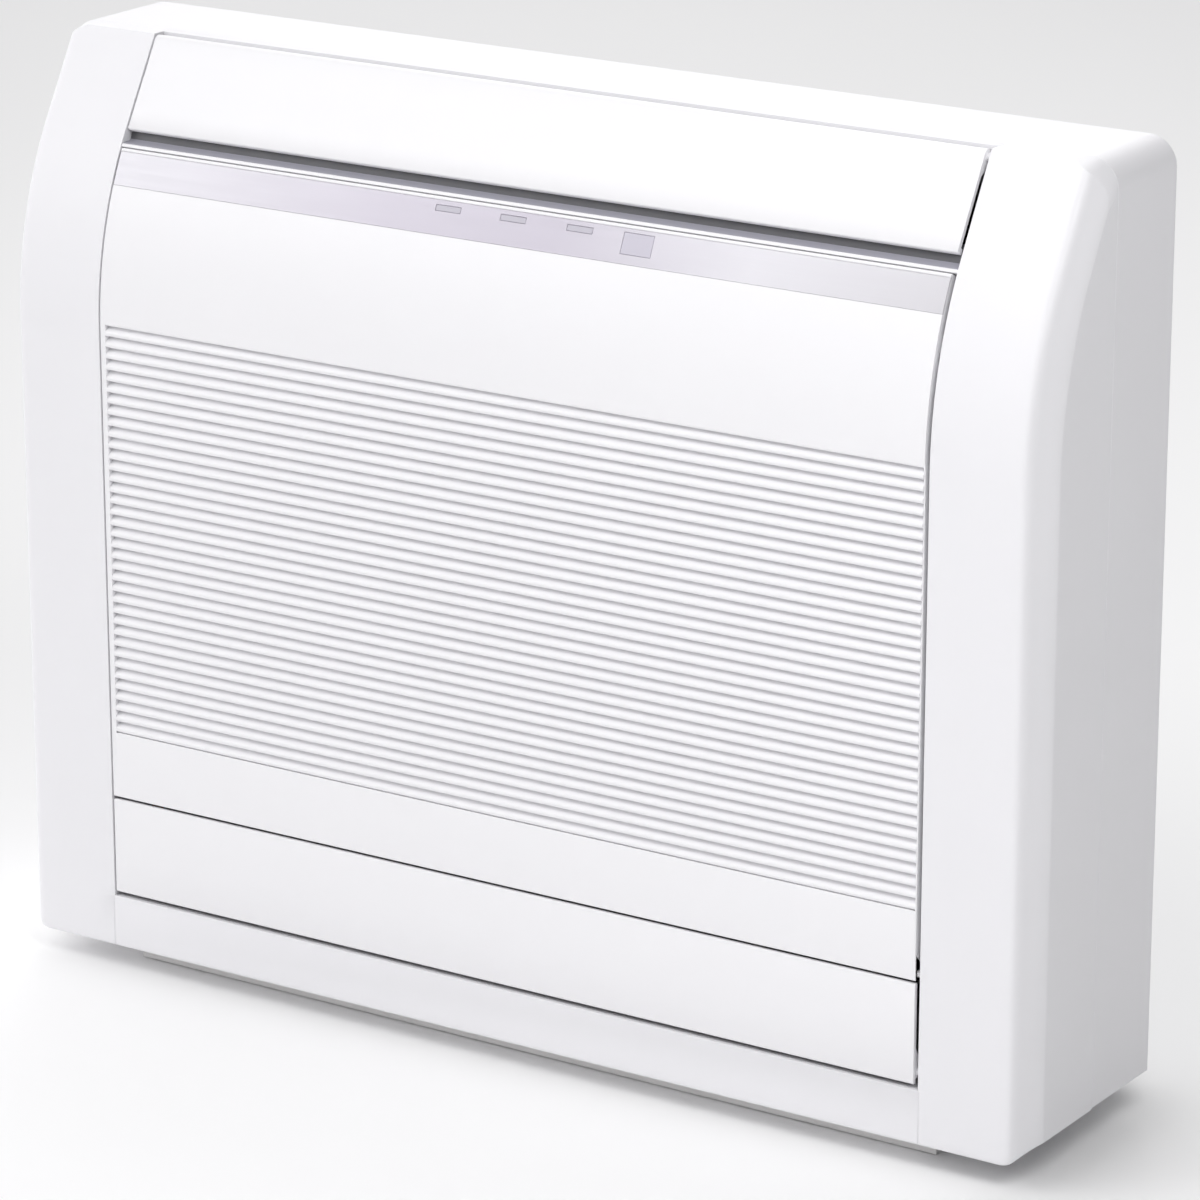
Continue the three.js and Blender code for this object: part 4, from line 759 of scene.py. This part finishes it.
def build_strip(work):
    windows = []
    for x, half, low, high in LAMPS + [RECEIVER]:
        windows.append((x - half - SEAT_GAP, x + half + SEAT_GAP, low - SEAT_GAP, high + SEAT_GAP))
    ends = {PANEL_LEFT, PANEL_LEFT + 0.4, PANEL_RIGHT - 0.4, PANEL_RIGHT}
    xs = sorted(ends | {v for w in windows for v in w[:2]})
    zs = sorted({STRIP_LOW + 0.1, STRIP_HIGH - 0.05} | {v for w in windows for v in w[2:]})
    rows = [[spot(x, *behind_face(z, SETBACK)) for x in xs] for z in zs]

    def solid(r, c):
        x, z = (xs[c] + xs[c + 1]) / 2, (zs[r] + zs[r + 1]) / 2
        return not any(w[0] < x < w[1] and w[2] < z < w[3] for w in windows)

    add_grid(work, rows, solid)


def window_piece(name, x, half, low, high, material):
    """A tinted window, a hair lower than the strip round it."""

    def build(work):
        near, far = face_line(low, high, SETBACK + 0.05), face_line(low, high, SETBACK + 1.0)
        add_sweep(work, near + far[::-1], x - half, x + half)

    mesh = mesh_of(name, build)
    piece = finish_piece(name + "_glass", mesh, "intake_grille", "window_tint", [material], [name])
    round_edges(piece, 0.5, 60.0)


strip_mesh = mesh_of("indicator_strip_foil", build_strip, inside=INSIDE)
strip = finish_piece("indicator_strip_foil", strip_mesh, "intake_grille", "strip_silver", [strip_foil],
                     ["indicator_strip"])
thicken(strip, STRIP_WALL)
round_edges(strip, 0.25, 60.0)
window_piece("receiver_window", *RECEIVER, receiver_tint)
for number, lamp_place in enumerate(LAMPS, 1):
    window_piece(f"lamp_window_{number}", *lamp_place, lamp_tint)
print("windows:", len(LAMPS) + 1)

# %% [markdown]
# ## Louver, slot trim and flap
# The louver carries the front curve on to the top, where its rear edge is rolled over its hinge line. A
# faint crease runs along it a little below the top. Under its lower edge the slot is one grey trim in two
# painted tones: painted shade in the recess above and painted light on the step below. The flap is a flat
# door with a rounded lower edge, and it hangs on two pins. All three are the same across, so each is one
# outline swept from side to side, and the slot's painted shade and light are set per stretch of its outline.

# %% Louver, slot trim and flap
LOUVER_LOW, LOUVER_CREASE = 546.0, 578.0
LOUVER_BEAD = 5.0
PIVOT_DROP = 5.5
PIVOT_DEPTH = front_depth(HEIGHT) + LOUVER_BEAD / math.cos(CURVE_ANGLE) - PIVOT_DROP * math.tan(CURVE_ANGLE)
PIVOT_HEIGHT = HEIGHT - PIVOT_DROP
FLAP_LOW, FLAP_HIGH = 53.0, 116.0
FLAP_PIN = (6.0, 60.0)


def build_louver(work):
    front = [behind_face(LOUVER_LOW, SETBACK + 0.8), behind_face(LOUVER_LOW + 0.7, SETBACK)]
    front += [behind_face(h, SETBACK) for h in (560.0, LOUVER_CREASE - 4)]
    front += [behind_face(LOUVER_CREASE, SETBACK + 0.22), behind_face(LOUVER_CREASE + 4, SETBACK + 0.12)]
    front += [behind_face(HEIGHT - 12, SETBACK)]
    bead = LOUVER_BEAD - SETBACK
    turns = [math.radians(180 - 15 * i) - CURVE_ANGLE for i in range(15)]
    roll = [(PIVOT_DEPTH + bead * math.cos(turn), PIVOT_HEIGHT + bead * math.sin(turn)) for turn in turns]
    inner = [behind_face(h, SETBACK + PANEL_WALL) for h in (586.0, 574.0, 549.2)]
    inner += [behind_face(549.0, SETBACK + 5), behind_face(LOUVER_LOW, SETBACK + 5)]
    add_sweep(work, front + roll + inner, PANEL_LEFT, PANEL_RIGHT)
    hinge_pins(work, PIVOT_DEPTH, PIVOT_HEIGHT)


def build_flap(work):
    near, far = SETBACK, SETBACK + PANEL_WALL
    outline = [(near + 1.2, FLAP_LOW), (far, FLAP_LOW), (far, FLAP_HIGH), (near + 0.6, FLAP_HIGH)]
    outline += [(near, FLAP_HIGH - 0.6), (near, FLAP_LOW + 1.4), (near + 0.35, FLAP_LOW + 0.5)]
    add_sweep(work, outline, PANEL_LEFT, PANEL_RIGHT)
    add_block(work, PANEL_LEFT + 6, far - 0.5, 92, PANEL_RIGHT - 6, far + 4, 94.4)
    ear = [(far - 0.5, 56.0), (9.0, 56.0), (10.0, 60.0), (9.0, 65.0), (far - 0.5, 76.0)]
    for x in (PANEL_LEFT, PANEL_RIGHT - 3):
        add_sweep(work, ear, x, x + 3)
    hinge_pins(work, *FLAP_PIN)


def build_slot(work):
    lip = [(534.4, 6.2), (535.7, 5.4), (535.75, 0.9), (536.1, 0.5), (537.3, 0.5), (537.7, 0.9)]
    step = [(541.4, 6.9), (542.2, 7.4)]
    recess = [(546, 6.6), (552, 6.4), (552, 9), (541, 10.5), (534.4, 9)]
    points = [behind_face(h, d) for h, d in lip + step + recess]
    # Material tags: painted shade on the recess (0), painted light on the step (1), the panel's white lip
    # (2).
    tags = [0] + [2] * (len(lip) - 2) + [1] * len(step) + [0] * (len(recess) + 1)
    add_sweep(work, points, OPENING_LEFT + SEAT_GAP, OPENING_RIGHT - SEAT_GAP, tags)


louver_mesh = mesh_of("upper_louver_skin", build_louver)
flap_mesh = mesh_of("lower_flap_skin", build_flap)
slot_mesh = mesh_of("slot_trim_skin", build_slot)
louver = finish_piece("upper_louver_skin", louver_mesh, "louver", "panel_white", [panel_plastic],
                      ["upper_louver"], sharp=50.0)
flap = finish_piece("lower_flap_skin", flap_mesh, "flap", "panel_white", [panel_plastic],
                    ["lower_flap"], sharp=50.0)
slot = finish_piece("slot_trim_skin", slot_mesh, "cabinet", "trim_grey",
                    [trim_dark, trim_pale, panel_plastic], ["slot_trim"])
for piece in (louver, flap, slot):
    round_edges(piece, 0.25, 60.0, 2)
print("front pieces:", [piece.name for piece in (louver, flap, slot)])

# %% [markdown]
# ## Fan wheels
# A cross-flow wheel is a drum of thin curved blades, held by rings along its length. The solid has
# sixteen thick blades, which is enough for its weight and reach. The real one has about twice as many and
# thin ones, so the wheel is made again: one curved blade outline is swept across, and turned round the
# shaft thirty-five times. An array of copies could do it too, but the outline can be turned before it is
# swept.

# %% Fan wheels
FAN_AXIS_DEPTH, FAN_LEFT, FAN_RIGHT = 120.0, -280.0, 276.0
FAN_BLADES, FAN_RINGS, RING_WIDTH, RING_SIDES = 35, 8, 1.6, 48
BLADE_REACH, BLADE_HALF, BLADE_INSET, BLADE_LEAN = 10.0, 0.38, 0.7, 0.17
SHAFT_RADIUS, HUB_RADIUS, HUB_LENGTH = 3.9, 9.0, 14


def add_ring(work, x0, x1, depth, height, outer, inner):
    """A flat ring round an axis that runs across."""
    loops = []
    for x, radius in ((x0, outer), (x1, outer), (x1, inner), (x0, inner)):
        loops.append([work.verts.new(spot(x, d, h)) for d, h in circle(depth, height, radius, RING_SIDES)])
    for near, far in zip(loops, loops[1:] + loops[:1]):
        for i in range(len(near)):
            work.faces.new((near[i - 1], near[i], far[i], far[i - 1]))


def blade_outline(height, radius, turn):
    """Cross-section of one blade: an arc that leans forward as it nears the rim."""
    sides = ([], [])
    for step in range(6):
        share = step / 5
        reach = radius - BLADE_INSET - BLADE_REACH * (1 - share)
        lean = turn + BLADE_LEAN * share * share
        for side, way in zip(sides, (-1, 1)):
            half = way * BLADE_HALF * (1 - 0.4 * abs(2 * share - 1))
            angle = lean + half / reach
            side.append((FAN_AXIS_DEPTH + reach * math.cos(angle), height + reach * math.sin(angle)))
    return sides[0] + sides[1][::-1]


def fan_wheel(node, body, height, radius):
    """One wheel in place of its solid."""

    def build(work):
        for i in range(FAN_BLADES):
            outline = blade_outline(height, radius, math.tau * i / FAN_BLADES)
            add_sweep(work, outline, FAN_LEFT + 1, FAN_RIGHT - 1)
        for i in range(FAN_RINGS):
            x = FAN_LEFT + (FAN_RIGHT - FAN_LEFT - RING_WIDTH) * i / (FAN_RINGS - 1)
            inner = SHAFT_RADIUS if i in (0, FAN_RINGS - 1) else radius - BLADE_REACH - 1.5
            add_ring(work, x, x + RING_WIDTH, FAN_AXIS_DEPTH, height, radius, inner)
        add_bar(work, FAN_LEFT, FAN_LEFT + HUB_LENGTH, FAN_AXIS_DEPTH, height, HUB_RADIUS)
        add_bar(work, FAN_RIGHT - HUB_LENGTH, FAN_RIGHT, FAN_AXIS_DEPTH, height, HUB_RADIUS)

    name = node + "_wheel"
    return finish_piece(name, mesh_of(name, build), body, "dark_plastic", [dark_plastic], [node], sharp=50.0)


upper_wheel = fan_wheel("upper_fan", "upper_fan_body", 496.0, 42.0)
lower_wheel = fan_wheel("lower_fan", "lower_fan_body", 112.0, 38.0)
print("wheel faces:", [len(wheel.data.polygons) for wheel in (upper_wheel, lower_wheel)])

# %% [markdown]
# ## Coil fins and filter nets
# The coil is a stack of thin aluminium plates on copper tubes. Seen through the open front it reads as
# fine upright lines, which a block can't give, so each plate is there. The filters are nets of thin
# thread in a moulded frame: the frame is the solid, and the threads are laid over it here. A picture of a
# net with holes in it would be lighter, but real threads hold up close to.

# %% Coil fins and filter nets
COIL_LEFT, COIL_RIGHT, COIL_LOW, COIL_HIGH = -262.0, 256.0, 156.0, 436.0
COIL_FRONT, COIL_BACK = 38.0, 70.0
FIN_PITCH, FIN_THICK = 2.4, 0.34
TUBE_ROWS, TUBE_RADIUS = 13, 3.8
# Depth of each column of tubes, and how far it is shifted up against the other one.
TUBE_COLUMNS = ((COIL_FRONT + 8, -3), (COIL_BACK - 8, 5))
THREAD_PITCH, THREAD_HALF, NET_DEPTH = 3.2, 0.2, 16.4
NET_LOW, NET_HIGH = 152.0, 442.0


def build_fins(work):
    for i in range(int((COIL_RIGHT - COIL_LEFT) / FIN_PITCH)):
        x = COIL_LEFT + i * FIN_PITCH
        add_block(work, x, COIL_FRONT + 0.3, COIL_LOW, x + FIN_THICK, COIL_BACK - 0.3, COIL_HIGH)


def build_tubes(work):
    for i in range(TUBE_ROWS):
        height = COIL_LOW + 10 + (COIL_HIGH - COIL_LOW - 20) * i / (TUBE_ROWS - 1)
        for depth, shift in TUBE_COLUMNS:
            add_bar(work, COIL_LEFT, COIL_RIGHT, depth, height + shift, TUBE_RADIUS, 20)


def filter_net(side, left, right):
    """Upright threads, with level ones laid over them."""

    def build(work):
        for i in range(int((right - left) / THREAD_PITCH)):
            x = left + (i + 0.5) * THREAD_PITCH
            add_block(work, x - THREAD_HALF, NET_DEPTH, NET_LOW, x + THREAD_HALF, NET_DEPTH + 0.35, NET_HIGH)
        for i in range(int((NET_HIGH - NET_LOW) / THREAD_PITCH)):
            z = NET_LOW + (i + 0.5) * THREAD_PITCH
            add_block(work, left, NET_DEPTH + 0.2, z - THREAD_HALF, right, NET_DEPTH + 0.55, z + THREAD_HALF)

    name = f"filter_net_{side}"
    return finish_piece(name, mesh_of(name, build), f"filter_body_{side}", "filter_grey", [filter_grey])


fins_mesh, tubes_mesh = mesh_of("coil_fin_stack", build_fins), mesh_of("coil_tubes", build_tubes)
fins = finish_piece("coil_fin_stack", fins_mesh, "cabinet", "fin_aluminium", [fin_aluminium], ["coil_fins"])
tubes = finish_piece("coil_tubes", tubes_mesh, "cabinet", "copper", [drawn_copper], sharp=50.0)
nets = [filter_net("left", -282.0, -8.0), filter_net("right", 8.0, 282.0)]
print("fins:", len(fins.data.polygons) // 6, "tube faces:", len(tubes.data.polygons))
print("net faces:", [len(net.data.polygons) for net in nets])

# %% [markdown]
# ## The other solids
# The rest of the pieces are right as solids, but their edges are knife sharp. They could be drawn again
# too, but it is enough to copy each one, join its flat faces and break its edges with a small bevel, as
# moulding and stamping do. Each slot of the record has one finish here, and a piece takes the finish of
# its slot.

# %% The other solids
FINISHES = {
    "casing_white": casing_plastic,
    "panel_white": panel_plastic,
    "base_plastic": plinth_plastic,
    "inner_plastic": inner_plastic,
    "trim_grey": trim_dark,
    "strip_silver": strip_foil,
    "window_tint": receiver_tint,
    "filter_grey": filter_grey,
    "dark_plastic": dark_plastic,
    "board_green": board_green,
    "rubber": rubber_black,
    "zinc_sheet": zinc_sheet,
    "fin_aluminium": fin_aluminium,
    "copper": drawn_copper,
}
MADE_AGAIN = {
    "front_frame", "rear_casing", "intake_panel", "indicator_strip", "receiver_window",
    "lamp_window_1", "lamp_window_2", "lamp_window_3", "upper_louver", "lower_flap", "slot_trim",
    "upper_fan", "lower_fan", "coil_fins",
}


def dressed(node_object, finish, slot):
    """A copy of a solid with flat faces joined and edges broken, which stands in for it."""
    mesh = node_object.data.copy()
    mesh.name = node_object.name + "_dressed"
    mesh.transform(node_object.matrix_world)
    mesh.materials.clear()
    work = bmesh.new()
    work.from_mesh(mesh)
    bmesh.ops.remove_doubles(work, verts=work.verts, dist=POINT_MERGE / 2)
    bmesh.ops.dissolve_limit(work, angle_limit=math.radians(1.0), verts=work.verts, edges=work.edges)
    work.to_mesh(mesh)
    work.free()
    body = node_object.parent.name.split(":")[1]
    piece = finish_piece(mesh.name, mesh, body, slot, [finish], [node_object.name])
    round_edges(piece, 0.22, 40.0, 2)


for name, node_object in frame["nodes"].items():
    slot_name = node_object.material_slots[0].material.name.split(".")[0]
    for place in node_object.material_slots:
        place.material = FINISHES[slot_name]
    if name not in MADE_AGAIN:
        dressed(node_object, FINISHES[slot_name], slot_name)
print("solids given a finish:", len(frame["nodes"]), "of which made again:", len(MADE_AGAIN))

# %% [markdown]
# ## Floor and light
# The picture to match is a shop cut-out on plain white, so the floor is pale and the light is soft. The
# sky is brightest to the left, like a room with one large window. It could do all the lighting, but then
# each side would have one flat tone. Four soft lamps stand round the casing and above it. They are near,
# so their light falls off downwards: the top stays white, and the right side goes slowly from light grey
# to a darker one. A fifth lamp brightens the floor behind, where the picture is white.

# %% Floor and light
SKY_LEFT = 1.8
SKY_COLOR = (0.995, 0.99, 1.0, 1.0)
FLOOR_PALE, FLOOR_DIM = (0.96, 0.96, 0.96), (0.95, 0.95, 0.95)
FLOOR_REACH, FLOOR_DROP = 30.0, 0.0006


def build_floor(work):
    bmesh.ops.create_grid(work, x_segments=8, y_segments=8, size=FLOOR_REACH)


floor = bpy.data.objects.new("studio_floor", mesh_of("studio_floor", build_floor))
bpy.context.scene.collection.objects.link(floor)
floor.location.z = -FLOOR_DROP
floor_finish = Finish("studio_white", FLOOR_PALE, 0.9)
floor_finish.set("Base Color", floor_finish.mix(floor_finish.noise(3.0), FLOOR_DIM, FLOOR_PALE))
floor.data.materials.append(floor_finish.material)

world = bpy.data.worlds.new("studio")
bpy.context.scene.world = world
world.use_nodes = True
sky_tree = world.node_tree
sky = sky_tree.nodes["Background"]
direction = make_node(sky_tree, "ShaderNodeTexCoord", out="Generated")
sideways = make_node(sky_tree, "ShaderNodeSeparateXYZ", None, {"Vector": direction})
spread = {"Value": sideways, "From Min": -1.4, "From Max": 0.6}
to_the_right = make_node(sky_tree, "ShaderNodeMapRange", None, spread)
sky.inputs["Color"].default_value = SKY_COLOR
plug(sky_tree, (1 - to_the_right) * SKY_LEFT, sky.inputs["Strength"])


def lamp(name, place, aim, size, power):
    """A square soft lamp at a place, turned to its aim, with its size in metres and its power in watts."""
    light = bpy.data.lights.new(name, "AREA")
    light.shape, light.size, light.energy = "SQUARE", size, power
    holder = bpy.data.objects.new(name, light)
    bpy.context.scene.collection.objects.link(holder)
    holder.location = place
    holder.rotation_euler = (Vector(aim) - Vector(place)).to_track_quat("-Z", "Y").to_euler()


lamp("front_lamp", (-0.3, -1.3, 2.3), (0.0, 0.0, 0.3), 1.2, 5.6)
lamp("left_lamp", (-1.6, -1.6, 1.6), (0.0, 0.0, 0.4), 1.2, 9.5)
lamp("right_lamp", (1.3, -0.9, 1.6), (0.37, -0.05, 0.5), 0.8, 14.5)
lamp("back_lamp", (-0.6, 1.6, 2.6), (0.0, 0.0, 0.3), 2.0, 18.0)
lamp("backdrop_lamp", (-2.2, 3.2, 2.0), (-1.8, 2.7, 0.0), 1.5, 9.0)
bpy.context.scene.view_settings.view_transform = "Standard"

# %% [markdown]
